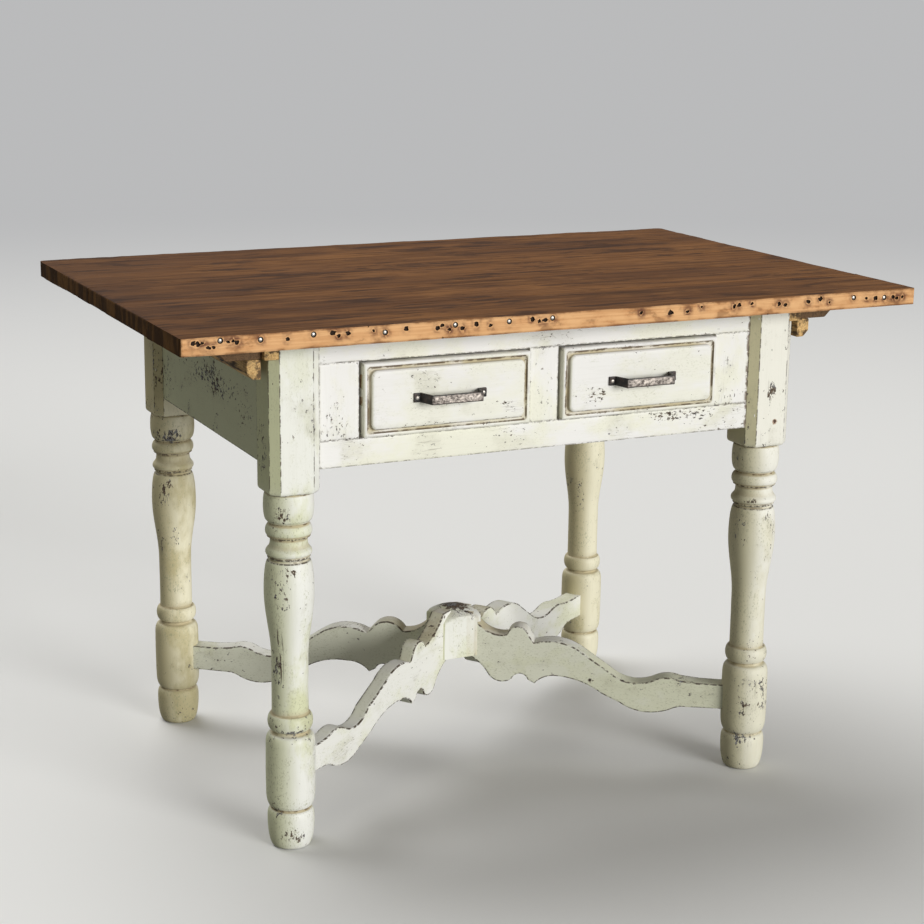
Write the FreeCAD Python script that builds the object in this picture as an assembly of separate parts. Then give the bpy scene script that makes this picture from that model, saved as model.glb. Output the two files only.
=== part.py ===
import FreeCAD, Part
import math
import os
from FreeCAD import Vector

# A painted pine kitchen table: four turned legs with square posts, a frame with
# two moulded drawers side by side, a boarded top on clasping battens, and a
# scalloped cross stretcher that meets in a domed hub. Millimetres, +Z up, X along
# the length, front towards -Y, origin on the floor at the table's centre.

# Top
table_height = 786.0
top_length = 1170.0
top_depth = 765.0
top_thickness = 25.5
top_board_count = 5
top_corner_radius = 5.0
top_arris_chamfer = 1.5
top_shift_x = 7.0
top_shift_y = -3.0

# Legs
leg_spacing_x = 779.0
leg_spacing_y = 552.0
post_width = 75.0
post_chamfer = 12.5
post_bottom_z = 538.0
post_shoulder_round = 11.0

# Turned part below the post: radii, and depths below the post's shoulder
head_radius = 34.0
head_swell_radius = 36.5
head_swell_depth = 18.0
head_foot_radius = 31.0
head_height = 41.0
upper_groove_radius = 29.0
upper_groove_depth = 46.0
collar_radius = 34.2
collar_depth = 55.0
collar_crest = 2.5
neck_radius = 27.4
neck_depth = 69.5
lower_collar_radius = 33.8
lower_collar_depth = 86.0
baluster_groove_radius = 28.0
baluster_groove_depth = 97.0
baluster_top_radius = 30.2
baluster_top_depth = 101.0
baluster_radius = 36.5
baluster_depth = 148.0
baluster_turn_radius = 32.3
baluster_turn_depth = 190.0
shaft_top_depth = 250.0
shaft_radius = 26.7

# Turned part above the floor: radii and heights
ankle_ring_radius = 33.0
ankle_ring_z = 193.0
ankle_ring_crest = 4.5
ankle_ring_half_height = 16.0
ankle_groove_radius = 25.5
ankle_groove_z = 178.0
barrel_radius = 36.0
barrel_top_z = 160.0
barrel_bottom_z = 84.0
barrel_end_radius = 30.0
barrel_end_z = 174.0
barrel_shoulder_radius = 34.6
barrel_shoulder_z = 72.0
foot_groove_radius = 29.5
foot_groove_z = 60.5
foot_bulge_radius = 34.5
foot_bulge_z = 45.0
foot_bulge_crest = 5.0
foot_radius = 26.5

# Aprons and front frame
apron_height = 191.0
apron_thickness = 22.0
top_rail_height = 40.5
bottom_rail_height = 40.0
muntin_width = 47.0
drawer_opening_width = 268.0
tenon_thickness = 10.0
tenon_length = 24.0
tenon_shoulder = 12.0
stile_tenon_length = 10.0
joint_clearance = 0.2
peg_radius = 4.0
peg_length = 34.0
peg_inset = 12.0
peg_sides = 8

# Battens that clasp the frame, and the strips that carry the top at each end
bearer_width = 21.5
bearer_height = 27.0
batten_clearance = 0.4
batten_width = 63.5
batten_thickness = 27.0
batten_length = 604.0
batten_end_chamfer = 12.0
clasp_width = 21.0
clasp_height = 28.0
clasp_inset = 1.0
clasp_toe_chamfer = 9.0
nail_width = 5.0
nail_head_width = 10.0
nail_head_height = 2.5
nail_bite = 14.0
nail_edge = 24.0
nail_offset = 18.0

# Drawers
drawer_side_gap = 3.0
drawer_top_gap = 2.0
drawer_bottom_gap = 1.5
running_clearance = 0.3
front_inset = 8.0
border_proud = 10.5
field_proud = 14.0
border_width = 5.5
border_round = 3.5
groove_width = 4.5
groove_floor = 7.5
groove_corner_radius = 6.0
field_corner_radius = 9.0
field_chamfer = 2.2
drawer_side_height = 98.0
drawer_side_length = 500.0
drawer_board = 12.0
drawer_bottom_thickness = 6.0
drawer_bottom_height = 10.0
drawer_groove_depth = 6.0
drawer_back_setback = 14.0
tail_count = 3
tail_length = 13.0
tail_slope = 0.16
tail_narrow_share = 0.28
drawer_back_drop = 6.0

# Drawer runners, kickers and stops
runner_thickness = 25.0
runner_width = 22.0
guide_width = 18.0
guide_height = 20.0
runner_tenon_length = 5.0
runner_tenon_shoulder = 4.0
kicker_width = 24.0
kicker_height = 22.0
stop_length = 20.0
stop_height = 12.0

# Iron pulls
pull_length = 113.0
pull_bar_length = 80.0
pull_height = 13.5
pull_projection = 28.0
pull_strap = 3.0
pull_foot_length = 9.0
pull_bend = 5.0
pull_screw_radius = 1.6
pull_screw_head_radius = 3.0
pull_screw_head_height = 1.4
pull_screw_length = 14.0
pull_screw_sides = 8

# Cross stretcher
hub_width = 75.0
hub_chamfer = 12.5
hub_bottom_z = 158.0
hub_shoulder_z = 232.0
hub_crown_z = 238.0
hub_dome_steps = 3
arm_thickness = 30.0
arm_start_z = 223.0
arm_tenon_thickness = 13.0
arm_tenon_length = 18.0
arm_tenon_shoulder = 6.0
arm_end_top_z = 137.0
arm_end_bottom_z = 97.5

# Places that follow from the sizes above
top_under_z = table_height - top_thickness
leg_x = leg_spacing_x / 2
leg_y = leg_spacing_y / 2
post_half = post_width / 2
flat_half = post_half - post_chamfer
apron_bottom_z = top_under_z - apron_height
apron_out_x = leg_x + flat_half
apron_out_y = leg_y + flat_half
apron_in_x = apron_out_x - apron_thickness
apron_in_y = apron_out_y - apron_thickness
post_in_x = leg_x - post_half
post_in_y = leg_y - post_half
opening_top_z = top_under_z - top_rail_height
opening_bottom_z = apron_bottom_z + bottom_rail_height
opening_in_x = muntin_width / 2
opening_out_x = opening_in_x + drawer_opening_width
drawer_x = (opening_in_x + opening_out_x) / 2
frame_front_y = -apron_out_y
frame_back_y = frame_front_y + apron_thickness
drawer_half = drawer_opening_width / 2 - drawer_side_gap
drawer_low_z = opening_bottom_z + running_clearance
front_width = drawer_opening_width - 2 * drawer_side_gap
front_low_z = opening_bottom_z + drawer_bottom_gap
front_high_z = opening_top_z - drawer_top_gap
front_back_y = frame_front_y + front_inset
field_y = frame_front_y - field_proud
pull_z = (front_low_z + front_high_z) / 2


def block(x0, x1, y0, y1, z0, z1):
    corner = Vector(min(x0, x1), min(y0, y1), min(z0, z1))
    return Part.makeBox(abs(x1 - x0), abs(y1 - y0), abs(z1 - z0), corner)


def grown(x0, x1, y0, y1, z0, z1, gap):
    """The block for a mortise that holds a tenon of the given size."""
    low = (min(x0, x1) - gap, min(y0, y1) - gap, min(z0, z1) - gap)
    high = (max(x0, x1) + gap, max(y0, y1) + gap, max(z0, z1) + gap)
    return block(low[0], high[0], low[1], high[1], low[2], high[2])


def rod(radius, length, foot, way):
    return Part.makeCylinder(radius, length, foot, way)


def whittled_rod(sides, radius, length, foot, way):
    """A rod with flat sides, that lies just inside the given radius."""
    across = Vector(0, 0, 1) if abs(way.z) < 0.5 else Vector(1, 0, 0)
    sideways = way.cross(across)
    ring = []
    for i in range(sides):
        turn = 2 * math.pi * (i + 0.5) / sides
        ring.append(foot + across * (radius * math.cos(turn)) + sideways * (radius * math.sin(turn)))
    face = Part.Face(Part.makePolygon(ring + ring[:1]))
    return face.extrude(way * length)


def outline(start, steps, place):
    """Edges through 2-D points: a step is an end point, or a point on the arc and its end."""
    edges = []
    here = start
    for step in steps:
        end = step[-1]
        if len(step) == 2:
            edges.append(Part.Arc(place(here), place(step[0]), place(end)).toShape())
        else:
            edges.append(Part.LineSegment(place(here), place(end)).toShape())
        here = end
    edges.append(Part.LineSegment(place(here), place(start)).toShape())
    return Part.Face(Part.Wire(edges))


def on_swell(crown, end):
    """Half-way point of the arc that is upright at the crown and runs to the end point."""
    drop = abs(crown[0] - end[0])
    run = end[1] - crown[1]
    radius = (drop * drop + run * run) / (2 * drop)
    sag = radius - math.sqrt(radius * radius - run * run / 4)
    inward = -1 if end[0] < crown[0] else 1
    return (crown[0] + inward * sag, crown[1] + run / 2)


def chamfered_post(width, chamfer, z0, z1):
    half = width / 2
    flat = half - chamfer
    corners = [(half, flat), (flat, half), (-flat, half), (-half, flat),
               (-half, -flat), (-flat, -half), (flat, -half), (half, -flat)]
    ring = [Vector(x, y, z0) for x, y in corners]
    face = Part.Face(Part.makePolygon(ring + ring[:1]))
    return face.extrude(Vector(0, 0, z1 - z0))


def upright(point):
    return Vector(point[0], 0, point[1])


def turned(face):
    return face.revolve(Vector(0, 0, 0), Vector(0, 0, 1), 360)


# --- Legs ---------------------------------------------------------------

def crest(radius, z, half_height):
    """The two steps along the flat top of a turned ring."""
    return [((radius, z - half_height),), ((radius, z + half_height),)]


def leg_turning():
    """The turned part from the floor to the post's shoulder."""
    top = post_bottom_z
    shaft_low = (shaft_radius, ankle_ring_z + ankle_ring_half_height)
    shaft_high = (shaft_radius, top - shaft_top_depth)
    turn = (baluster_turn_radius, top - baluster_turn_depth)
    belly = (baluster_radius, top - baluster_depth)
    belly_top = (baluster_top_radius, top - baluster_top_depth)
    head_low = (head_foot_radius, top - head_height)
    swell = (head_swell_radius, top - head_swell_depth)
    steps = [((foot_radius, 0),)]
    steps += crest(foot_bulge_radius, foot_bulge_z, foot_bulge_crest)
    steps += [
        ((foot_groove_radius, foot_groove_z),),
        ((barrel_shoulder_radius, barrel_shoulder_z),),
        ((barrel_radius, barrel_bottom_z),),
        ((barrel_radius, barrel_top_z),),
        ((barrel_end_radius, barrel_end_z),),
        ((ankle_groove_radius, ankle_groove_z),),
    ]
    steps += crest(ankle_ring_radius, ankle_ring_z, ankle_ring_crest)
    steps += [
        (shaft_low,),
        (shaft_high,),
        (on_swell(shaft_high, turn), turn),
        (on_swell(belly, turn), belly),
        (on_swell(belly, belly_top), belly_top),
        ((baluster_groove_radius, top - baluster_groove_depth),),
    ]
    steps += crest(lower_collar_radius, top - lower_collar_depth, collar_crest)
    steps.append(((neck_radius, top - neck_depth),))
    steps += crest(collar_radius, top - collar_depth, collar_crest)
    steps += [
        ((upper_groove_radius, top - upper_groove_depth),),
        (head_low,),
        (on_swell(swell, head_low), swell),
        ((head_radius, top),),
        ((0, top),),
    ]
    return turned(outline((0, 0), steps, upright))


def post_block():
    """The chamfered post, with its lower corners turned off in two cuts."""
    post = chamfered_post(post_width, post_chamfer, post_bottom_z, top_under_z)
    corner_radius = math.hypot(post_half, flat_half) + joint_clearance
    slant = post_shoulder_round * (1 - math.sqrt(0.5))
    steps = [
        ((corner_radius - post_shoulder_round, post_bottom_z),),
        ((corner_radius - slant, post_bottom_z + slant),),
        ((corner_radius, post_bottom_z + post_shoulder_round),),
        ((corner_radius, top_under_z),),
        ((0, top_under_z),),
    ]
    return post.common(turned(outline((0, post_bottom_z), steps, upright)))


def rail_tenon(side, front_y, z0, z1):
    """Tenon of a lengthwise rail in the post on the given side of the table."""
    middle_y = front_y + apron_thickness / 2
    half = tenon_thickness / 2
    tip = side * (post_in_x + tenon_length)
    return (side * post_in_x, tip, middle_y - half, middle_y + half, z0 + tenon_shoulder, z1 - tenon_shoulder)


def side_tenon(side, end):
    """Tenon of a side apron in the post at the given end of it."""
    middle_x = side * (apron_out_x - apron_thickness / 2)
    half = tenon_thickness / 2
    tip = end * (post_in_y + tenon_length)
    low = apron_bottom_z + tenon_shoulder
    high = top_under_z - bearer_height - tenon_shoulder
    return (middle_x - half, middle_x + half, end * post_in_y, tip, low, high)


def rail_tenons(side, end):
    """Every lengthwise tenon that the post at this side and end takes."""
    if end < 0:
        return [rail_tenon(side, frame_front_y, apron_bottom_z, opening_bottom_z),
                rail_tenon(side, frame_front_y, opening_top_z, top_under_z)]
    return [rail_tenon(side, apron_in_y, apron_bottom_z, top_under_z)]


def peg_heights(low, high, count):
    step = (high - low) / count
    return [low + step * (i + 0.5) for i in range(count)]


def post_pegs(side, end, radius, length):
    """Shaved pegs through one post, from its front or back into the rails and its side into the apron."""
    pegs = []
    rail_x = side * (post_in_x + peg_inset)
    for tenon in rail_tenons(side, end):
        count = 2 if tenon[5] - tenon[4] > apron_height / 2 else 1
        for z in peg_heights(tenon[4], tenon[5], count):
            foot = Vector(rail_x, end * (leg_y + post_half), z)
            pegs.append(whittled_rod(peg_sides, radius, length, foot, Vector(0, -end, 0)))
    apron_y = end * (post_in_y + peg_inset)
    tenon = side_tenon(side, end)
    for z in peg_heights(tenon[4], tenon[5], 2):
        foot = Vector(side * (leg_x + post_half), apron_y, z)
        pegs.append(whittled_rod(peg_sides, radius, length, foot, Vector(-side, 0, 0)))
    return pegs


def bearer_blank(side, gap):
    x0 = side * (apron_out_x - gap)
    x1 = side * (apron_out_x + bearer_width)
    half = leg_y + post_half + gap
    return block(x0, x1, -half, half, top_under_z - bearer_height - gap, top_under_z)


def arm_tenon(at, way, length):
    """Tenon on the end of a stretcher arm, along the arm's own X from the given place."""
    half = arm_tenon_thickness / 2
    z0 = arm_end_bottom_z + arm_tenon_shoulder
    z1 = arm_end_top_z - arm_tenon_shoulder
    return (at - way * arm_thickness, at + way * length, -half, half, z0, z1)


arm_angle = math.atan2(leg_spacing_y, leg_spacing_x)
arm_reach = math.hypot(leg_x, leg_y)
arm_seat = arm_reach - barrel_radius


def to_quarter(shape, side, end):
    """Turns a piece made along +X to point at the leg on this side and end."""
    angle = math.degrees(math.atan2(end * math.sin(arm_angle), side * math.cos(arm_angle)))
    turned_shape = shape.copy()
    turned_shape.rotate(Vector(0, 0, 0), Vector(0, 0, 1), angle)
    return turned_shape


def leg(side, end):
    solid = leg_turning().fuse(post_block()).removeSplitter()
    solid.translate(Vector(side * leg_x, end * leg_y, 0))
    cuts = [grown(*tenon, joint_clearance) for tenon in rail_tenons(side, end)]
    cuts.append(grown(*side_tenon(side, end), joint_clearance))
    cuts.append(bearer_blank(side, joint_clearance))
    cuts += post_pegs(side, end, peg_radius + joint_clearance / 2, peg_length + joint_clearance)
    mortise = grown(*arm_tenon(arm_seat, 1, arm_tenon_length), joint_clearance)
    cuts.append(to_quarter(mortise, side, end))
    return solid.cut(cuts)


# --- Frame --------------------------------------------------------------

def long_rail(front_y, z0, z1):
    """A lengthwise board between two posts, with a tenon on each end."""
    board = block(-post_in_x, post_in_x, front_y, front_y + apron_thickness, z0, z1)
    for side in (-1, 1):
        board = board.fuse(block(*rail_tenon(side, front_y, z0, z1)))
    return board.removeSplitter()


def without_pegs(board):
    holes = []
    for side in (-1, 1):
        for end in (-1, 1):
            holes += post_pegs(side, end, peg_radius + joint_clearance / 2, peg_length + joint_clearance)
    return board.cut(holes)


def side_apron(side):
    x0 = side * apron_in_x
    x1 = side * apron_out_x
    board = block(x0, x1, -post_in_y, post_in_y, apron_bottom_z, top_under_z)
    for end in (-1, 1):
        board = board.fuse(block(*side_tenon(side, end)))
    return without_pegs(board.removeSplitter())


def upright_tenon(x0, x1, z0, z1):
    middle_y = frame_front_y + apron_thickness / 2
    half = tenon_thickness / 2
    inset = min(tenon_shoulder, (x1 - x0) / 4)
    return (x0 + inset, x1 - inset, middle_y - half, middle_y + half, z0, z1)


frame_uprights = {
    "front_stile_left": (-post_in_x, -opening_out_x),
    "front_muntin": (-opening_in_x, opening_in_x),
    "front_stile_right": (opening_out_x, post_in_x),
}


def frame_upright(x0, x1):
    """A stile or the muntin, tenoned into the rails above and below it."""
    board = block(x0, x1, frame_front_y, frame_back_y, opening_bottom_z, opening_top_z)
    low = opening_bottom_z - stile_tenon_length
    high = opening_top_z + stile_tenon_length
    return board.fuse(block(*upright_tenon(x0, x1, low, high))).removeSplitter()


def runner_spans():
    """Left edge, right edge and guides of each runner, from left to right."""
    outer = opening_out_x - drawer_side_gap - runner_width
    inner = opening_in_x + drawer_side_gap + runner_width
    far = opening_out_x + guide_width
    guide_half = opening_in_x + drawer_side_gap - 2 * running_clearance
    outer_guide = opening_out_x - drawer_side_gap + 2 * running_clearance
    return {
        "drawer_runner_left": (-far, -outer, (-far, -outer_guide)),
        "drawer_runner_middle": (-inner, inner, (-guide_half, guide_half)),
        "drawer_runner_right": (outer, far, (outer_guide, far)),
    }


def runner_tenon(x0, x1, z0, z1, end):
    """Stub tenon on the front or back end of a runner or kicker."""
    face_y = frame_back_y if end < 0 else apron_in_y
    tip = face_y + end * runner_tenon_length
    lip = runner_tenon_shoulder
    return (x0 + lip, x1 - lip, face_y, tip, z0 + lip, z1 - lip)


def cross_bar(x0, x1, z0, z1):
    """A bar from the front frame to the back apron with a stub tenon on each end."""
    bar = block(x0, x1, frame_back_y, apron_in_y, z0, z1)
    for end in (-1, 1):
        bar = bar.fuse(block(*runner_tenon(x0, x1, z0, z1, end)))
    return bar.removeSplitter()


runner_low_z = opening_bottom_z - runner_thickness
kicker_high_z = opening_top_z + kicker_height
kickers = {
    "drawer_kicker_left": -opening_out_x + drawer_side_gap + kicker_width / 2,
    "drawer_kicker_middle": 0.0,
    "drawer_kicker_right": opening_out_x - drawer_side_gap - kicker_width / 2,
}
middle_kicker_half = opening_in_x + drawer_side_gap + kicker_width / 2


def kicker_span(name):
    half = middle_kicker_half if kickers[name] == 0.0 else kicker_width / 2
    return kickers[name] - half, kickers[name] + half


def bar_mortises(end):
    """Mortises for the runners and kickers in the front frame or the back apron."""
    cuts = []
    for x0, x1, guide in runner_spans().values():
        cuts.append(grown(*runner_tenon(x0, x1, runner_low_z, opening_bottom_z, end), joint_clearance))
    for name in kickers:
        x0, x1 = kicker_span(name)
        cuts.append(grown(*runner_tenon(x0, x1, opening_top_z, kicker_high_z, end), joint_clearance))
    return cuts


def front_rail(z0, z1):
    rail = long_rail(frame_front_y, z0, z1)
    low = opening_bottom_z - stile_tenon_length
    high = opening_top_z + stile_tenon_length
    cuts = bar_mortises(-1)
    for x0, x1 in frame_uprights.values():
        cuts.append(grown(*upright_tenon(x0, x1, low, high), joint_clearance))
    return without_pegs(rail.cut(cuts))


def back_apron():
    rail = long_rail(apron_in_y, apron_bottom_z, top_under_z)
    return without_pegs(rail.cut(bar_mortises(1)))


def runner(x0, x1, guide):
    bar = cross_bar(x0, x1, runner_low_z, opening_bottom_z)
    rib_top = opening_bottom_z + guide_height
    rib = block(guide[0], guide[1], frame_back_y, apron_in_y, opening_bottom_z, rib_top)
    return bar.fuse(rib).removeSplitter()


def drawer_stops():
    """Blocks on the runners behind each drawer side."""
    y0 = front_back_y + drawer_side_length + running_clearance
    blocks = []
    for side in (-1, 1):
        for edge in (-1, 1):
            x0 = side * drawer_x + edge * (drawer_half - drawer_board)
            x1 = side * drawer_x + edge * drawer_half
            stop_top = opening_bottom_z + stop_height
            blocks.append(block(x0, x1, y0, y0 + stop_length, opening_bottom_z, stop_top))
    return Part.makeCompound(blocks)


# --- Top and battens ----------------------------------------------------

def top_slab():
    half_x = top_length / 2
    half_y = top_depth / 2
    slab = block(-half_x, half_x, -half_y, half_y, top_under_z, table_height)
    corners = [e for e in slab.Edges if abs(e.Vertexes[0].Z - e.Vertexes[1].Z) > top_thickness / 2]
    slab = slab.makeFillet(top_corner_radius, corners)
    rims = [e for e in slab.Edges if e.BoundBox.ZLength < 0.01]
    return slab.makeChamfer(top_arris_chamfer, rims)


board_depth = top_depth / top_board_count


def board_edges(i):
    front = -top_depth / 2 + i * board_depth
    return front, front + board_depth


def nail_places():
    """One nail up through each batten into every board of the top."""
    places = []
    limit = batten_length / 2 - nail_edge
    for side in (-1, 1):
        x = side * (apron_out_x + bearer_width + batten_clearance + batten_width - nail_offset)
        for i in range(top_board_count):
            middle = sum(board_edges(i)) / 2 + top_shift_y
            places.append((x, max(-limit, min(limit, middle))))
    return places


batten_low_z = top_under_z - batten_thickness


def nail_shank(x, y, gap):
    half = nail_width / 2 + gap
    return block(x - half, x + half, y - half, y + half, batten_low_z, top_under_z + nail_bite + gap)


def batten_nails():
    """Square cut nails with flat heads under the battens."""
    nails = []
    half = nail_head_width / 2
    for x, y in nail_places():
        head = block(x - half, x + half, y - half, y + half, batten_low_z - nail_head_height, batten_low_z)
        nails.append(nail_shank(x, y, 0.0).fuse(head).removeSplitter())
    return Part.makeCompound(nails)


def nail_holes():
    return [nail_shank(x, y, joint_clearance) for x, y in nail_places()]


def end_chamfered(board, size, low_z, out_x):
    """Cuts the lower outer corner off a batten or clasp, along its whole length."""
    half = batten_length / 2
    side = 1 if out_x > 0 else -1
    ring = [Vector(out_x, -half, low_z), Vector(out_x - side * size, -half, low_z),
            Vector(out_x, -half, low_z + size)]
    wedge = Part.Face(Part.makePolygon(ring + ring[:1])).extrude(Vector(0, 2 * half, 0))
    return board.cut(wedge)


def batten_board(side):
    x0 = side * (apron_out_x + bearer_width + batten_clearance)
    x1 = x0 + side * batten_width
    half = batten_length / 2
    board = block(x0, x1, -half, half, batten_low_z, top_under_z)
    return end_chamfered(board, batten_end_chamfer, batten_low_z, x1).cut(nail_holes())


def batten_clasp(side):
    x0 = side * (apron_out_x + bearer_width + batten_clearance + clasp_inset)
    x1 = x0 + side * clasp_width
    half = batten_length / 2
    low = batten_low_z - clasp_height
    board = block(x0, x1, -half, half, low, batten_low_z)
    return end_chamfered(board, clasp_toe_chamfer, low, x1)


# --- Drawers ------------------------------------------------------------

def rounded_plate(width, height, radius, y0, y1):
    """A plate in the front plane, centred on the drawer front, with round corners."""
    z0 = pull_z - height / 2
    plate = block(-width / 2, width / 2, y0, y1, z0, z0 + height)
    corners = [e for e in plate.Edges if e.BoundBox.YLength > abs(y1 - y0) / 2]
    return plate.makeFillet(radius, corners)


def tails(gap):
    """Dovetails on the front end of the left drawer side, as blocks to add or cut."""
    pitch = drawer_side_height / tail_count
    narrow = pitch * tail_narrow_share
    wide = narrow + tail_slope * tail_length
    x0 = -drawer_half
    x1 = x0 + drawer_board
    y0 = front_back_y
    shapes = []
    for i in range(tail_count):
        z = drawer_low_z + pitch * (i + 0.5)
        ring = [Vector(x0, y0, z - narrow - gap), Vector(x0, y0 - tail_length - gap, z - wide - gap),
                Vector(x0, y0 - tail_length - gap, z + wide + gap), Vector(x0, y0, z + narrow + gap)]
        face = Part.Face(Part.makePolygon(ring + ring[:1]))
        shapes.append(face.extrude(Vector(x1 - x0, 0, 0)))
    return shapes


def mirrored(shape):
    return shape.mirror(Vector(0, 0, 0), Vector(1, 0, 0))


def pull_screw_xs():
    inset = pull_length / 2 - pull_foot_length / 2
    return (-inset, inset)


def edges_in_plane(shape, y):
    """The edges that lie in the upright plane at this y."""
    near = 0.01
    return [e for e in shape.Edges if e.BoundBox.YLength < near and abs(e.BoundBox.YMin - y) < near]


def drawer_front():
    """Moulded front: a rounded border, a sunk groove and a raised field with round corners."""
    half = front_width / 2
    border_y = frame_front_y - border_proud
    front = block(-half, half, border_y, front_back_y, front_low_z, front_high_z)
    front = front.makeFillet(border_round, edges_in_plane(front, border_y))
    sunk_width = front_width - 2 * border_width
    sunk_height = front_high_z - front_low_z - 2 * border_width
    groove_y = frame_front_y - groove_floor
    front = front.cut(rounded_plate(sunk_width, sunk_height, groove_corner_radius, border_y, groove_y))
    field_width = sunk_width - 2 * groove_width
    field_height = sunk_height - 2 * groove_width
    field = rounded_plate(field_width, field_height, field_corner_radius, groove_y, field_y)
    field = field.makeChamfer(field_chamfer, edges_in_plane(field, field_y))
    front = front.fuse(field).removeSplitter()
    left_tails = tails(0.0)
    cuts = left_tails + [mirrored(tail) for tail in left_tails]
    groove_z = drawer_low_z + drawer_bottom_height
    inner = drawer_half - drawer_board + drawer_groove_depth
    cuts.append(block(-inner, inner, front_back_y - drawer_groove_depth, front_back_y,
                      groove_z, groove_z + drawer_bottom_thickness))
    hole_radius = pull_screw_radius + joint_clearance / 2
    for x in pull_screw_xs():
        mouth = Vector(x, field_y, pull_z)
        cuts.append(whittled_rod(pull_screw_sides, hole_radius, pull_screw_length, mouth, Vector(0, 1, 0)))
    return front.cut(cuts)


def bottom_blank():
    """The drawer bottom, which slides forward in its grooves under the back."""
    inner = drawer_half - drawer_board + drawer_groove_depth
    z0 = drawer_low_z + drawer_bottom_height
    y1 = front_back_y + drawer_side_length - drawer_back_setback
    return (-inner, inner, front_back_y - drawer_groove_depth, y1, z0, z0 + drawer_bottom_thickness)


def back_blank():
    inner = drawer_half - drawer_board + drawer_groove_depth
    y1 = front_back_y + drawer_side_length - drawer_back_setback
    z0 = drawer_low_z + drawer_bottom_height + drawer_bottom_thickness
    return (-inner, inner, y1 - drawer_board, y1, z0, drawer_low_z + drawer_side_height - drawer_back_drop)


def drawer_left_side():
    x0 = -drawer_half
    y1 = front_back_y + drawer_side_length
    side = block(x0, x0 + drawer_board, front_back_y, y1, drawer_low_z, drawer_low_z + drawer_side_height)
    side = side.fuse(tails(0.0)).removeSplitter()
    floor = bottom_blank()
    groove = block(x0 + drawer_board - drawer_groove_depth, x0 + drawer_board, front_back_y - tail_length,
                   y1, floor[4], floor[5])
    back = back_blank()
    housing = block(back[0], x0 + drawer_board, back[2], back[3], back[4], back[5])
    top_slot = block(back[0], x0 + drawer_board, back[2], back[3], back[5], drawer_low_z + drawer_side_height)
    return side.cut([groove, housing, top_slot])


def pull_outline(step):
    """Plan of the bent strap, on its outer face for step 0 and inner face for step 1."""
    inset = step * pull_strap
    foot = pull_length / 2
    bar = pull_bar_length / 2
    y_foot = field_y - pull_strap + inset
    y_bar = field_y - pull_projection + inset
    heel = foot - pull_foot_length + inset
    return foot, heel, bar - inset, y_foot, y_bar


def pull():
    """A flat iron strap: two screwed feet, two splayed legs and a straight bar."""
    foot, heel, bar, y_foot, y_bar = pull_outline(0)
    in_foot, in_heel, in_bar, in_y_foot, in_y_bar = pull_outline(1)
    z0 = pull_z - pull_height / 2
    outer = [(-foot, field_y), (-foot, y_foot), (-heel, y_foot), (-bar, y_bar), (bar, y_bar),
             (heel, y_foot), (foot, y_foot), (foot, field_y)]
    heel_in = heel - pull_strap
    inner = [(heel_in, field_y), (in_bar, in_y_bar), (-in_bar, in_y_bar), (-heel_in, field_y)]
    ring = [Vector(x, y, z0) for x, y in outer + inner]
    strap = Part.Face(Part.makePolygon(ring + ring[:1])).extrude(Vector(0, 0, pull_height))
    bends = [e for e in strap.Edges if e.BoundBox.ZLength > pull_height / 2
             and abs(e.Vertexes[0].Y - y_bar) < 0.01]
    strap = strap.makeFillet(pull_bend, bends)
    holes = []
    hole_radius = pull_screw_radius + joint_clearance / 2
    for x in pull_screw_xs():
        under = Vector(x, field_y, pull_z)
        holes.append(whittled_rod(pull_screw_sides, hole_radius, pull_strap, under, Vector(0, -1, 0)))
    return strap.cut(holes)


def pull_screws():
    screws = []
    for x in pull_screw_xs():
        face = Vector(x, field_y - pull_strap, pull_z)
        inward = Vector(0, 1, 0)
        shank = whittled_rod(pull_screw_sides, pull_screw_radius, pull_screw_length, face, inward)
        head = whittled_rod(pull_screw_sides, pull_screw_head_radius, pull_screw_head_height, face, -inward)
        screws.append(shank.fuse(head).removeSplitter())
    return Part.makeCompound(screws)


def drawer_pieces():
    left = drawer_left_side()
    return {
        "front": drawer_front(),
        "side_left": left,
        "side_right": mirrored(left),
        "back": block(*back_blank()),
        "bottom": block(*bottom_blank()),
        "pull": pull(),
        "pull_screws": pull_screws(),
    }


# --- Cross stretcher ----------------------------------------------------

def hub_blank():
    """A chamfered block with a domed top, the dome turned in a few straight cuts."""
    post = chamfered_post(hub_width, hub_chamfer, hub_bottom_z, hub_crown_z)
    half = hub_width / 2
    reach = math.hypot(half, half - hub_chamfer) + joint_clearance
    rise = hub_crown_z - hub_shoulder_z
    dome_radius = (reach * reach + rise * rise) / (2 * rise)
    steps = [((reach, hub_bottom_z),)]
    for i in range(hub_dome_steps + 1):
        out = reach * (1 - i / hub_dome_steps)
        steps.append(((out, hub_crown_z - dome_radius + math.sqrt(dome_radius * dome_radius - out * out)),))
    return post.common(turned(outline((0, hub_bottom_z), steps, upright)))


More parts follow.
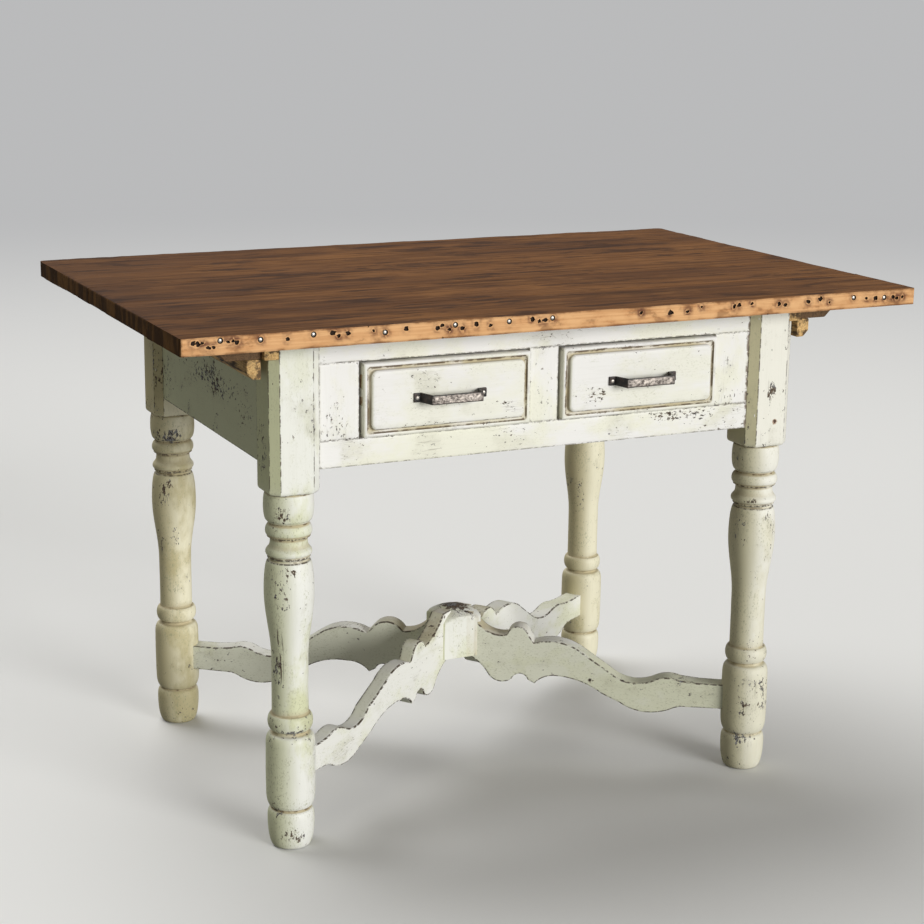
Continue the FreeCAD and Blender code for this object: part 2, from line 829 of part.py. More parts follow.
def arm_outline():
    """Scalloped front of one arm. Along: 0 at the hub, 1 at the leg. Up: heights above the floor."""
    start = hub_width / 2 - hub_chamfer
    run = arm_reach - start

    def place(point):
        return Vector(start + point[0] * run, -arm_thickness / 2, point[1])

    steps = [
        ((0.028, arm_start_z),),
        ((0.073, 201.0), (0.150, 197.0)),
        ((0.183, 210.0), (0.226, 196.0)),
        ((0.244, 184.0),),
        ((0.318, 190.0), (0.425, 172.5)),
        ((0.522, 143.5),),
        ((0.617, 129.0), (0.684, 138.0)),
        ((0.720, 142.5), (0.770, arm_end_top_z + 2.0)),
        ((0.835, arm_end_top_z),),
        ((1.0, arm_end_top_z),),
        ((1.0, arm_end_bottom_z),),
        ((0.778, arm_end_bottom_z - 2.5),),
        ((0.757, arm_end_bottom_z - 5.5),),
        ((0.672, 81.0), (0.560, 94.5)),
        ((0.494, 107.5),),
        ((0.400, 127.5), (0.325, 131.5)),
        ((0.290, 128.5), (0.251, 116.0)),
        ((0.226, 121.5),),
        ((0.193, 131.0), (0.168, 122.0)),
        ((0.132, 115.0), (0.080, 126.5)),
        ((0.047, 145.0), (0.0, hub_bottom_z)),
    ]
    return outline((0.0, arm_start_z), steps, place)


def hub_tenon():
    half = arm_tenon_thickness / 2
    z0 = hub_bottom_z + 2 * arm_tenon_shoulder
    z1 = arm_start_z - 3 * arm_tenon_shoulder
    seat = hub_width / 2
    return (seat - arm_tenon_length / 2, seat + arm_tenon_shoulder, -half, half, z0, z1)


def stretcher_arm(side, end):
    """The arm scribed to the hub as it lies, then given its two tenons."""
    board = arm_outline().extrude(Vector(0, arm_thickness, 0))
    board = to_quarter(board, side, end).cut(hub_blank())
    seat = Vector(side * leg_x, end * leg_y, 0)
    board = board.cut(rod(barrel_radius + joint_clearance / 2, table_height, seat, Vector(0, 0, 1)))
    board = max(board.Solids, key=lambda solid: solid.Volume)
    joints = [to_quarter(block(*hub_tenon()), side, end)]
    joints.append(to_quarter(block(*arm_tenon(arm_seat, 1, arm_tenon_length)), side, end))
    return board.fuse(joints).removeSplitter()


def hub():
    cuts = []
    for side in (-1, 1):
        for end in (-1, 1):
            cuts.append(to_quarter(grown(*hub_tenon(), joint_clearance), side, end))
    return hub_blank().cut(cuts)


# --- Write one file per piece -------------------------------------------

pieces = {}
slab = top_slab()
slab.translate(Vector(top_shift_x, top_shift_y, 0))
slab = slab.cut(nail_holes())
for i in range(top_board_count):
    y0, y1 = board_edges(i)
    strip = block(-top_length, top_length, y0 + top_shift_y, y1 + top_shift_y, 0, 2 * table_height)
    pieces["top_board_%d" % (i + 1)] = slab.common(strip)

all_pegs = []
for side, side_name in ((-1, "left"), (1, "right")):
    pieces["side_apron_" + side_name] = side_apron(side)
    pieces["bearer_strip_" + side_name] = bearer_blank(side, 0.0)
    pieces["batten_board_" + side_name] = batten_board(side)
    pieces["batten_clasp_" + side_name] = batten_clasp(side)
    for end, end_name in ((-1, "front"), (1, "back")):
        pieces["leg_%s_%s" % (end_name, side_name)] = leg(side, end)
        pieces["stretcher_arm_%s_%s" % (end_name, side_name)] = stretcher_arm(side, end)
        all_pegs += post_pegs(side, end, peg_radius, peg_length)
pieces["joint_pegs"] = Part.makeCompound(all_pegs)
pieces["batten_nails"] = batten_nails()
pieces["stretcher_hub"] = hub()
pieces["back_apron"] = back_apron()
pieces["front_top_rail"] = front_rail(opening_top_z, top_under_z)
pieces["front_bottom_rail"] = front_rail(apron_bottom_z, opening_bottom_z)
for name, (x0, x1) in frame_uprights.items():
    pieces[name] = frame_upright(x0, x1)
for name, (x0, x1, guide) in runner_spans().items():
    pieces[name] = runner(x0, x1, guide)
for name in kickers:
    x0, x1 = kicker_span(name)
    pieces[name] = cross_bar(x0, x1, opening_top_z, kicker_high_z)
pieces["drawer_stops"] = drawer_stops()
for side, side_name in ((-1, "left"), (1, "right")):
    for name, shape in drawer_pieces().items():
        moved = shape.copy()
        moved.translate(Vector(side * drawer_x, 0, 0))
        pieces["%s_drawer_%s" % (side_name, name)] = moved

# The origin lies under the centre of the top, which sits a little off the centre of its frame
to_top_centre = Vector(-top_shift_x, -top_shift_y, 0)
os.makedirs("parts", exist_ok=True)
for name, shape in pieces.items():
    shape.translate(to_top_centre)
    shape.exportStep("parts/%s.step" % name)
    print(name, len(shape.Solids), shape.isValid(), round(shape.Volume / 1000, 1))
print(len(pieces), "pieces")
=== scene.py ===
import bpy
import bmesh
import math
from mathutils import Matrix, Vector, noise


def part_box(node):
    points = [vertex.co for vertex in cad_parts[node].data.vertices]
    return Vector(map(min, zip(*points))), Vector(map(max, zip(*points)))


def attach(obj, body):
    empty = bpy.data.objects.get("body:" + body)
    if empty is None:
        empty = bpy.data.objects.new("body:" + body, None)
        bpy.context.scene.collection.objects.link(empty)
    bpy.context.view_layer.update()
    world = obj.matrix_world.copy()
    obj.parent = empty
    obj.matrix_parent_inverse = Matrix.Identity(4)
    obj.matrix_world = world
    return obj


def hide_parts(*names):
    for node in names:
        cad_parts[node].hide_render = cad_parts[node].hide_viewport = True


# A painted pine kitchen table. Metres, +Z up, drawers towards -Y; every piece is placed
# from the frame's own boxes, and the small dictionaries hold what one would change.

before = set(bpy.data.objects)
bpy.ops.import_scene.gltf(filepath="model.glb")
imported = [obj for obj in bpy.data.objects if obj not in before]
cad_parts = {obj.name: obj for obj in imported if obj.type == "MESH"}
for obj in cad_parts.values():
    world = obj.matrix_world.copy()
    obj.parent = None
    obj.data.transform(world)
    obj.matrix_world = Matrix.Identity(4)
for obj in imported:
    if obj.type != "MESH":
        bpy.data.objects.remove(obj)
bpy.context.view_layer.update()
mm = 0.001
# the same noise on every run
noise.seed_set(11)
print("frame loaded:", len(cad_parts), "nodes")


# ---- shader wiring

class Wire:
    # a shader socket that takes Python's operators; node() makes any other node
    def __init__(self, tree, socket=None):
        self.tree = tree
        self.socket = socket

    def node(self, kind, values=None, settings=None, output=0):
        made = self.tree.nodes.new("ShaderNode" + kind)
        for key, value in (settings or {}).items():
            setattr(made, key, value)
        for key, value in (values or {}).items():
            if isinstance(value, Wire):
                self.tree.links.new(value.socket, made.inputs[key])
            else:
                made.inputs[key].default_value = value
        return Wire(self.tree, made.outputs[output])

    def maths(self, operation, first, second=0.0):
        return self.node("Math", {0: first, 1: second}, {"operation": operation})

    def __add__(self, other):
        return self.maths("ADD", self, other)

    def __radd__(self, other):
        return self.maths("ADD", other, self)

    def __sub__(self, other):
        return self.maths("SUBTRACT", self, other)

    def __rsub__(self, other):
        return self.maths("SUBTRACT", other, self)

    def __mul__(self, other):
        return self.maths("MULTIPLY", self, other)

    def __rmul__(self, other):
        return self.maths("MULTIPLY", other, self)

    def __pow__(self, other):
        return self.maths("POWER", self, other)

    def __abs__(self):
        return self.maths("ABSOLUTE", self)

    def least(self, other):
        return self.maths("MINIMUM", self, other)

    def most(self, other):
        return self.maths("MAXIMUM", self, other)

    def zigzag(self):
        # up and down between 0 and 1, once for each whole number
        return self.maths("PINGPONG", self, 0.5) * 2.0

    def between(self, low, high, start=0.0, end=1.0):
        # start below low, end above high, eased in between
        values = {"Value": self, "From Min": low, "From Max": high, "To Min": start, "To Max": end}
        return self.node("MapRange", values, {"interpolation_type": "SMOOTHSTEP"})

    def attribute(self, name):
        return self.node("Attribute", None, {"attribute_name": name}, 2)

    def normal(self):
        return self.node("TexCoord", None, None, 1)

    def along(self, axis):
        # one number of a vector: 0 is x, 1 is y and 2 is z
        return self.node("SeparateXYZ", {0: self}, None, axis)

    def stretched(self, scale, shift=(0.0, 0.0, 0.0)):
        return self.node("Mapping", {"Vector": self, "Scale": scale, "Location": shift})

    def cloud(self, scale, detail=3.0, rough=0.5, bend=0.0):
        values = {"Vector": self, "Scale": scale, "Detail": detail, "Roughness": rough, "Distortion": bend}
        return self.node("TexNoise", values)

    def cells(self, scale):
        return self.node("TexVoronoi", {"Vector": self, "Scale": scale})

    def blended(self, first, second):
        # the first colour where this is 0, the second where it is 1
        first, second = [end if isinstance(end, Wire) else (*end, 1.0) for end in (first, second)]
        return self.node("Mix", {0: self, 6: first, 7: second}, {"data_type": "RGBA"}, 2)

    def bumped(self, strength, distance):
        return self.node("Bump", {"Height": self, "Strength": strength, "Distance": distance})


def startMaterial(name, **fixed):
    material = bpy.data.materials.new(name)
    material.use_nodes = True
    shader = material.node_tree.nodes["Principled BSDF"]
    for key, value in fixed.items():
        shader.inputs[key.replace("_", " ")].default_value = value
    wires = Wire(material.node_tree)
    place = wires.node("TexCoord", None, None, 3)
    return material, shader, place


def plug(shader, **wires):
    for key, wire in wires.items():
        wire.tree.links.new(wire.socket, shader.inputs[key.replace("_", " ")])


# ---- paint

paintLook = {
    "grime": (0.3, 0.27, 0.165),
    "grooveDirt": (0.5, 0.43, 0.265),
    "grooveLine": (0.13, 0.085, 0.045),
    "speck": (0.37, 0.37, 0.22),
    "arris": (0.075, 0.056, 0.036),
    "bareWood": (0.165, 0.12, 0.08),
    "darkWood": (0.045, 0.032, 0.024),
    "oldLayer": (0.29, 0.295, 0.3),
    "rim": (0.56, 0.48, 0.33),
    "crack": (0.19, 0.16, 0.105),
    # the level that a chip needs, and what clusters, edges and worn spots take off it
    "chipStart": 0.664, "clusterLoss": 0.076, "edgeLoss": 0.085, "spotLoss": 0.135,
    "chipSoft": 0.008, "rimWidth": 0.012, "scratchStretch": (1.0, 1.0, 0.07), "scratchFine": 250.0,
    # the heights in metres between which the painted shade under the top and the wiping of the fronts set in
    "shelterLow": 0.53, "shelterHigh": 0.56,
    "shadeSide": 0.8, "roughness": 0.47, "bump": 0.55, "bumpHeight": 0.0006,
}
paintClouds = {
    # what the pattern is stretched like, then its scale, detail and roughness
    "stretches": ("place", 13.0, 3.0, 0.6), "coarse": ("across", 205.0, 5.0, 0.66),
    "fine": ("across", 620.0, 2.0, 0.6), "clusters": ("place", 15.0, 3.0, 0.55),
    "veins": ("brush", 88.0, 3.0, 0.6), "streaks": ("brush", 300.0, 3.0, 0.55),
    "mottle": ("across", 24.0, 5.0, 0.62), "broad": ("place", 3.4, 3.0, 0.5),
    "specks": ("across", 430.0, 3.0, 0.7), "patchy": ("place", 70.0, 5.0, 0.68),
    "layers": ("place", 30.0, 2.0, 0.5),
}


def paintWear(place, clouds, wear, edging):
    # where the paint is gone: chips, their rims, hairline cracks and rubbed arrises
    look = paintLook
    stretches, coarse, fine, clusters, veins = clouds
    rawEdge = place.attribute("edge wear")
    edge = rawEdge ** 2.6 * stretches.between(0.42, 0.56, 0.3) * wear
    spot = place.attribute("worn spot") * wear
    need = look["chipStart"] - edge * look["edgeLoss"] - spot * look["spotLoss"]
    need = need - clusters.between(0.52, 0.63) * (look["clusterLoss"] * wear)
    over = coarse * 0.84 + fine * 0.16 - need
    chip = over.between(0.0, look["chipSoft"])
    rim = over.between(-look["rimWidth"], 0.0) - chip
    scratches = place.stretched(look["scratchStretch"]).cloud(look["scratchFine"], 2.0, 0.5)
    chip = chip.most(scratches.between(0.555, 0.575) * place.attribute("scratched").between(0.0, 0.3))
    # long cracks along the boards, only where the paint is already tired
    cracks = 1.0 - abs(veins - 0.5).between(0.0, 0.0065)
    cracks = cracks * (clusters + spot * 0.2).between(0.55, 0.64) * 0.45
    # the thin dark line that handling leaves on every arris, with gaps in it
    arris = rawEdge.between(0.6, 0.94) * coarse.between(0.445, 0.525, 0.1) * edging
    return chip, rim, cracks, arris


def markedPaint(place, colour, knots, patchy):
    # knots and nails that stain the paint: each has a middle, a size, a stain and a core
    for middle, size, stained, core in knots:
        away = place.node("VectorMath", {0: place, 1: middle}, {"operation": "DISTANCE"}, 1)
        away = away + (patchy - 0.5) * (size * 4.0)
        colour = ((1.0 - away.between(size * 0.35, size)) * 0.85).blended(colour, stained)
        colour = (1.0 - away.between(size * 0.2, size * 0.5)).blended(colour, core)
    return colour


def paintMaterial(name, colours, grain, seed, wear, grime, ageing, edging, knots=()):
    look = paintLook
    cream, aged = paintColours[colours]
    chipGrain, brushGrain = paintGrains[grain]
    material, shader, place = startMaterial(name, Specular_IOR_Level=0.38)
    shift = (seed * 0.37, seed * 0.21, seed * 0.13)
    grounds = {"place": place, "across": place.stretched(chipGrain, shift),
               "brush": place.stretched(brushGrain, shift)}
    clouds = [grounds[ground].cloud(*fineness) for ground, *fineness in paintClouds.values()]
    chip, rim, cracks, arris = paintWear(place, clouds[:5], wear, edging)
    coarse, fine, clusters = clouds[1:4]
    streaks, mottle, broad, specks, patchy, layers = clouds[5:]
    dirt = place.attribute("groove dirt") * grime
    deep = place.attribute("deep line")

    # painted shade: the side that faces away from the light takes the aged colour, most of all
    # under the top, whose overhang would shade it; the fronts there are wiped more often
    level = place.along(2)
    low, high = look["shelterLow"], look["shelterHigh"]
    shade = (0.0 - place.normal().along(0)).between(-0.15, 0.95) * level.between(low, high, 0.92, 1.15)
    wiped = level.between(low, high, 1.0, 0.45)
    age = (broad + mottle * 0.6 - 0.3).between(0.42, 0.62) * wiped * ageing
    age = age.most(shade * look["shadeSide"]).least(1.0)
    colour = age.blended(cream, aged)
    colour = (streaks.between(0.5, 0.64) * 0.03 * grime).blended(colour, look["grime"])
    smears = clusters.between(0.5, 0.64) * mottle.between(0.44, 0.58) * (0.15 * grime)
    colour = smears.blended(colour, look["grime"])
    # countless soft specks where the top coat is thin, most of all on the shaded side
    specks = specks.between(0.53, 0.66) * (mottle + shade * 0.1).between(0.46, 0.62)
    colour = (specks * wiped * (0.5 * grime)).least(0.8).blended(colour, look["speck"])
    grooves = (dirt * mottle.between(0.34, 0.6, 0.35, 0.9)).least(0.9)
    colour = grooves.blended(colour, look["grooveDirt"])
    line = (deep * grime).between(0.25, 0.9) * (patchy + deep * 0.08).between(0.52, 0.65, 0.08, 0.9)
    colour = line.least(0.88).blended(colour, look["grooveLine"])
    colour = cracks.blended(colour, look["crack"])
    colour = arris.least(1.0).blended(colour, look["arris"])
    colour = (rim * 0.4).blended(colour, look["rim"])
    colour = markedPaint(place, colour, knots, patchy)
    under = layers.between(0.48, 0.56).blended(look["bareWood"], look["oldLayer"])
    under = fine.between(0.38, 0.62).blended(under, look["darkWood"])
    colour = chip.blended(colour, under)

    relief = (1.0 - chip) * 0.8 - cracks * 0.5 - arris * 0.4 + streaks * 0.03 + mottle * 0.3
    relief = relief + coarse * 0.14
    rough = look["roughness"] + chip * 0.34 + grooves * 0.2 + mottle * 0.1
    normal = relief.bumped(look["bump"], look["bumpHeight"])
    plug(shader, Base_Color=colour, Roughness=rough, Normal=normal)
    return material


# ---- wood

topLook = {
    "stainLight": (0.212, 0.09, 0.028),
    "stainMid": (0.116, 0.047, 0.015),
    "stainDark": (0.036, 0.015, 0.007),
    "rubbed": (0.285, 0.132, 0.047),
    "dent": (0.03, 0.017, 0.011),
    "edgeLight": (0.77, 0.45, 0.215),
    "edgeDark": (0.56, 0.275, 0.115),
    "edgeStain": (0.12, 0.05, 0.022),
    "nailStain": (0.13, 0.052, 0.034),
    "endLight": (0.12, 0.06, 0.02),
    "endDark": (0.04, 0.02, 0.008),
    "knotStretch": (3.2, 9.0, 9.0), "stainStretch": (0.55, 1.0, 1.0),
    # the part of the length, in metres, over which the darker left end fades
    "darkLeftFrom": -0.62, "darkLeftTo": -0.22,
}
topClouds = {
    # how the pattern stretches along the boards, then its scale, detail, roughness and bend
    "bend": ((2.2, 9.0, 9.0), 1.0, 3.0, 0.5), "figure": ((0.55, 15.0, 15.0), 1.3, 4.0, 0.55, 0.6),
    "pores": ((6.0, 260.0, 260.0), 1.0, 4.0, 0.65), "threads": ((3.6, 80.0, 80.0), 1.0, 4.0, 0.6),
    "flecks": ((7.0, 45.0, 45.0), 1.0, 3.0, 0.6), "broad": ((1.1, 7.0, 7.0), 1.2, 5.0, 0.62),
    "blots": ((3.4, 11.0, 11.0), 1.6, 6.0, 0.7, 0.5), "dents": ((0.6, 1.0, 1.0), 95.0, 3.0, 0.6),
    "bands": ((9.0, 34.0, 9.0), 1.0, 5.0, 0.65),
}


def bareEdge(place, late, pores, low, high):
    # the front edge has lost its stain, except along its arrises and round its nails
    look = topLook
    stains = place.stretched(look["stainStretch"]).cloud(46.0, 5.0, 0.62)
    bare = (late * 0.3 + pores.between(0.42, 0.62) * 0.4 + stains.between(0.42, 0.62) * 0.4)
    bare = bare.least(1.0).blended(look["edgeLight"], look["edgeDark"])
    level = place.along(2)
    fromTop = (high.z - level).between(0.0006, 0.0042)
    fromBelow = (level - low.z).between(0.0004, 0.004)
    rubbedEdge = (1.0 - fromTop * fromBelow) * stains.between(0.4, 0.58, 0.35)
    bare = (rubbedEdge * 0.78).blended(bare, look["edgeStain"])
    bare = (stains.between(0.56, 0.66) * 0.42).blended(bare, look["edgeStain"])
    around = (place.attribute("nail stain") * 1.9).least(1.0) * stains.between(0.4, 0.56, 0.22, 0.95)
    return around.least(0.92).blended(bare, look["nailStain"])


def topMaterial(name, seed, low, high, frontY):
    # stained pine; what faces the front before frontY is bare
    look = topLook
    material, shader, place = startMaterial(name, Specular_IOR_Level=0.05)
    facingX = abs(place.normal().along(0)).between(0.55, 0.8)
    facingFront = (0.0 - place.normal().along(1)).between(0.35, 0.75)
    facingFront = facingFront * (frontY + 0.003 - place.along(1)).between(0.0, 0.001)
    shifted = place.stretched((1.0, 1.0, 1.0), (seed * 1.7, seed * 0.9, seed * 0.4))
    bend, figure, pores, threads, flecks, broad, blots, dents, bands = [
        shifted.stretched(stretch).cloud(*fineness) for stretch, *fineness in topClouds.values()]
    late = (figure * 10.0 + bend * 1.6).zigzag().between(0.5, 1.0)
    colour = broad.between(0.36, 0.62).blended(look["stainMid"], look["stainLight"])
    colour = (blots.between(0.4, 0.3) * 0.6).blended(colour, look["rubbed"])
    darker = [late * 0.24, blots.between(0.52, 0.62) * 0.7, threads.between(0.46, 0.62) * 0.34,
              pores.between(0.48, 0.62) * 0.3, flecks.between(0.57, 0.66) * 0.8]
    # the top is darker towards its left end, with fewer rubbed patches there
    leftDarkening = 1.0 - place.along(0).between(look["darkLeftFrom"], look["darkLeftTo"])
    for amount in darker + [leftDarkening * 0.34]:
        colour = amount.blended(colour, look["stainDark"])
    rubbed = place.cloud(6.5, 4.0, 0.6)
    worn = rubbed.between(0.48, 0.62) * (1.0 - threads.between(0.42, 0.56)) * (0.42 - leftDarkening * 0.2)
    colour = worn.blended(colour, look["rubbed"])
    knots = 1.0 - shifted.stretched(look["knotStretch"]).cells(0.9).between(0.035, 0.08)
    dents = dents.between(0.7, 0.74)
    colour = (knots * 0.65).blended(colour, look["stainDark"])
    colour = (dents * 0.6).blended(colour, look["dent"])
    colour = facingFront.blended(colour, bareEdge(place, late, pores, low, high))
    ends = bands.between(0.42, 0.62).blended(look["endDark"], look["endLight"])
    colour = facingX.blended(colour, ends)
    nicks = place.attribute("edge wear") * place.cloud(120.0, 4.0, 0.6).between(0.46, 0.58)
    colour = (nicks * 0.5).blended(colour, look["stainDark"])
    relief = threads * -0.5 + pores * -0.35 + late * 0.2 + broad * 0.5 - knots * 0.3 - dents * 0.8
    rough = 0.5 + pores * 0.14 + rubbed * 0.14 + facingX * 0.2
    plug(shader, Base_Color=colour, Roughness=rough, Normal=relief.bumped(0.55, 0.0007))
    return material


pineLook = {
    "dirt": (0.06, 0.04, 0.025), "crust": (0.048, 0.028, 0.016), "crustStretch": (1.0, 0.16, 1.0),
}


def pineMaterial(name, grain, light, dark, seed, dirt=0.35, crust=0.0, paintedTo=None):
    # bare wood; grain gives the stretch along the fibres, and paint covers what lies before paintedTo
    look = pineLook
    material, shader, place = startMaterial(name, Specular_IOR_Level=0.3)
    along = place.stretched(grain, (seed * 0.7, seed * 0.3, seed * 0.5))
    rings = (along.cloud(1.6, 4.0, 0.55, 0.4) * 11.0).zigzag()
    fibres = along.stretched((9.0, 9.0, 9.0)).cloud(2.4, 3.0, 0.6)
    colour = (rings.between(0.45, 1.0) * 0.6 + fibres * 0.25).blended(light, dark)
    grime = place.cloud(14.0, 5.0, 0.62).between(0.46, 0.62) * dirt
    hollows = (place.attribute("groove dirt") * 0.8 + grime).least(0.95)
    colour = hollows.blended(colour, look["dirt"])
    if crust:
        scab = place.stretched(look["crustStretch"]).cloud(75.0, 5.0, 0.66).between(0.45, 0.58) * crust
        colour = scab.blended(colour, look["crust"])
    if paintedTo is not None:
        fore = (paintedTo - place.along(1)).between(0.0, 0.001)
        brushed = fore * place.cloud(160.0, 3.0, 0.6).between(0.6, 0.54)
        colour = brushed.blended(colour, paintColours["side"][1])
    relief = fibres * 0.6 + rings * 0.3
    rough = 0.62 + fibres * 0.18
    plug(shader, Base_Color=colour, Roughness=rough, Normal=relief.bumped(0.5, 0.0006))
    return material


# ---- iron

ironLook = {
    "dark": (0.012, 0.01, 0.009),
    "brown": (0.085, 0.064, 0.052),
    "worn": (0.64, 0.57, 0.505),
    "rust": (0.09, 0.045, 0.032),
}
nailLook = {"bright": (0.86, 0.83, 0.77), "dull": (0.46, 0.4, 0.34)}
# the holes' near-black is partly dirt and partly painted shade deep inside them
holeGrimeAndShadeLook = {"dark": (0.012, 0.008, 0.006), "crust": (0.05, 0.03, 0.02)}


def ironMaterial(name, wornAmount):
    look = ironLook
    material, shader, place = startMaterial(name)
    hammer = place.cloud(190.0, 3.0, 0.55)
    scale = place.stretched((0.7, 1.0, 1.0)).cloud(300.0, 5.0, 0.66)
    rub = place.attribute("worn spot").least(1.0) * (1.0 - place.attribute("edge wear"))
    patches = hammer.between(0.4, 0.6) * 0.45 + scale.between(0.42, 0.6) * 0.55
    bright = patches * rub * wornAmount
    rust = place.cloud(120.0, 4.0, 0.6).between(0.48, 0.6) * 0.35
    colour = rust.blended(look["dark"], look["rust"])
    colour = (rub * 0.8 * wornAmount).blended(colour, look["brown"])
    colour = bright.blended(colour, look["worn"])
    metal = 0.1 + bright * 0.4
    rough = 0.5 - bright * 0.08 + scale * 0.14
    relief = hammer * 0.8 + scale * 0.4
    plug(shader, Base_Color=colour, Metallic=metal, Roughness=rough, Normal=relief.bumped(0.6, 0.0006))
    return material


def nailMaterial():
    material, shader, place = startMaterial("nailHead", Metallic=0.75)
    worn = place.cloud(700.0, 3.0, 0.6)
    colour = worn.between(0.35, 0.68).blended(nailLook["bright"], nailLook["dull"])
    plug(shader, Base_Color=colour, Roughness=0.26 + worn * 0.25, Normal=worn.bumped(0.3, 0.0002))
    return material


def holeMaterial():
    material, shader, place = startMaterial("holeDirtAndShade", Specular_IOR_Level=0.15)
    crust = place.cloud(500.0, 3.0, 0.6)
    colour = crust.blended(holeGrimeAndShadeLook["dark"], holeGrimeAndShadeLook["crust"])
    plug(shader, Base_Color=colour, Roughness=0.85 + crust * 0.1, Normal=crust.bumped(0.5, 0.0004))
    return material


# ---- the finishes

paintColours = {
    # fresh and aged; the aged colour also paints the shade on the side away from the light
    "front": ((0.832, 0.822, 0.798), (0.805, 0.798, 0.64)),
    "leg": ((0.82, 0.822, 0.765), (0.625, 0.645, 0.355)),
    "tan": ((0.835, 0.822, 0.738), (0.62, 0.57, 0.315)),
    "rear": ((0.81, 0.768, 0.58), (0.5, 0.43, 0.21)),
    # the side colours are a darker sage, painted shade for the left apron; the drawer fore-ends borrow the
    # aged one
    "side": ((0.665, 0.665, 0.45), (0.585, 0.605, 0.385)),
    "arm": ((0.82, 0.817, 0.765), (0.7, 0.71, 0.5)),
}
paintGrains = {
    # the stretch of the chips and of the brush marks
    "x": ((0.6, 1.0, 1.0), (0.06, 1.0, 1.0)),
    "y": ((1.0, 0.7, 1.0), (1.0, 0.06, 1.0)),
    "z": ((1.0, 1.0, 0.6), (1.0, 1.0, 0.06)),
    "leg": ((1.0, 1.0, 0.55), (1.0, 1.0, 0.05)),
    "arm": ((0.6, 0.6, 1.0), (0.08, 0.08, 1.0)),
}
brownStain, blackHole = (0.13, 0.08, 0.048), (0.016, 0.011, 0.009)
rustStain, rustHole = (0.36, 0.185, 0.07), (0.06, 0.025, 0.012)
postNail = [((0.3906, -0.3105, 0.5771), 0.0052, rustStain, rustHole)]
armKnots = [((0.1717, -0.142, 0.1279), 0.0048, brownStain, blackHole),
            ((-0.0398, -0.0313, 0.2302), 0.004, brownStain, blackHole)]
# four marks side by side read as a short slot near the top of the hub's front, in millimetres; their black
# cores are partly dirt and partly painted shade for a slot that the mesh does not cut
hubPlaces = ((2.6, -24.3, 232.0), (6.0, -24.6, 231.6), (9.4, -25.0, 231.1), (12.8, -25.3, 230.4))
hubSlot = [((x * mm, y * mm, z * mm), 0.0028, brownStain, blackHole) for x, y, z in hubPlaces]
paintCoats = {
    # colours, grain, seed, wear, grime, ageing, edging and marks
    "paintRails": ("front", "x", 1.0, 0.82, 0.8, 1.7, 0.6),
    "paintLeftApronShaded": ("side", "y", 2.0, 1.15, 1.3, 0.9, 1.0),
    "paintSideRight": ("tan", "y", 2.5, 1.1, 1.2, 1.3, 0.9),
    "paintBackApron": ("tan", "x", 1.0, 0.9, 1.0, 1.2, 0.7),
    "paintUprights": ("front", "z", 3.0, 0.9, 0.8, 1.6, 0.45),
    "paintLegs": ("leg", "leg", 4.0, 1.05, 1.35, 0.75, 0.95),
    "paintLegRight": ("tan", "leg", 7.0, 1.0, 1.25, 0.36, 0.9, postNail),
    "paintRearLegs": ("rear", "leg", 8.0, 1.1, 1.6, 0.8, 0.8),
    "paintDrawers": ("front", "x", 5.0, 0.62, 1.1, 1.3, 0.5),
    "paintHub": ("leg", "leg", 9.0, 1.05, 1.15, 0.6, 0.8, hubSlot),
    "paintStretcher": ("arm", "arm", 6.0, 0.66, 0.9, 0.75, 1.0, armKnots),
}
innerLight, innerDark = (0.46, 0.29, 0.15), (0.27, 0.15, 0.07)
drawerLight, drawerDark = (0.55, 0.37, 0.21), (0.36, 0.21, 0.1)
drawerFrontBack = -0.2985   # where the drawer fronts end and their bare sides begin
pineWoods = {
    # grain, light, dark, seed, dirt, crust and paintedTo
    # the batten boards' dark brown is partly aged wood and partly painted shade under the top
    "battenPineShaded": ((40.0, 3.0, 40.0), (0.2, 0.115, 0.055), (0.065, 0.037, 0.02), 1.0, 0.5),
    "claspPine": ((40.0, 3.0, 40.0), (0.78, 0.52, 0.215), (0.36, 0.175, 0.06), 1.5, 1.0, 0.88),
    "innerPineX": ((2.5, 34.0, 34.0), innerLight, innerDark, 2.0),
    "innerPineY": ((34.0, 2.5, 34.0), innerLight, innerDark, 3.0),
    "drawerPineX": ((2.5, 30.0, 30.0), drawerLight, drawerDark, 4.0),
    "drawerPineY": ((30.0, 2.5, 30.0), drawerLight, drawerDark, 5.0, 0.35, 0.0, drawerFrontBack),
}
paint = {name: paintMaterial(name, *coat) for name, coat in paintCoats.items()}
pine = {name: pineMaterial(name, *wood) for name, wood in pineWoods.items()}
pullIron = ironMaterial("pullIron", 1.0)
nailIron = ironMaterial("nailIron", 0.5)
nailHead = nailMaterial()
holeDirtAndShade = holeMaterial()
print("materials made")


# ---- shared mesh steps

# in the dictionaries below, "waver" is how far and how finely a hand-planed surface strays,
# and "wear" is how far wear reaches and the bends between which it grows
tiny = 1e-6


def clamped(value, low=0.0, high=1.0):
    return min(high, max(low, value))


def same(first, second):
    return abs(first - second) < tiny


def ovalDistance(away, size):
    # 0 in the middle of an oval and 1 on its skin
    return math.sqrt(sum((part / half) ** 2 for part, half in zip(away, size)))


def added(name, data):
    made = bpy.data.objects.new(name, data)
    bpy.context.scene.collection.objects.link(made)
    return made


def floats(bm, name):
    layers = bm.verts.layers.float
    return layers.get(name) or layers.new(name)


def newVerts(made):
    return [part for part in made["geom"] if isinstance(part, bmesh.types.BMVert)]


def boxMesh(low, high):
    bm = bmesh.new()
    bmesh.ops.create_cube(bm, size=1.0)
    bmesh.ops.scale(bm, vec=high - low, verts=bm.verts)
    bmesh.ops.translate(bm, vec=(low + high) / 2, verts=bm.verts)
    return bm


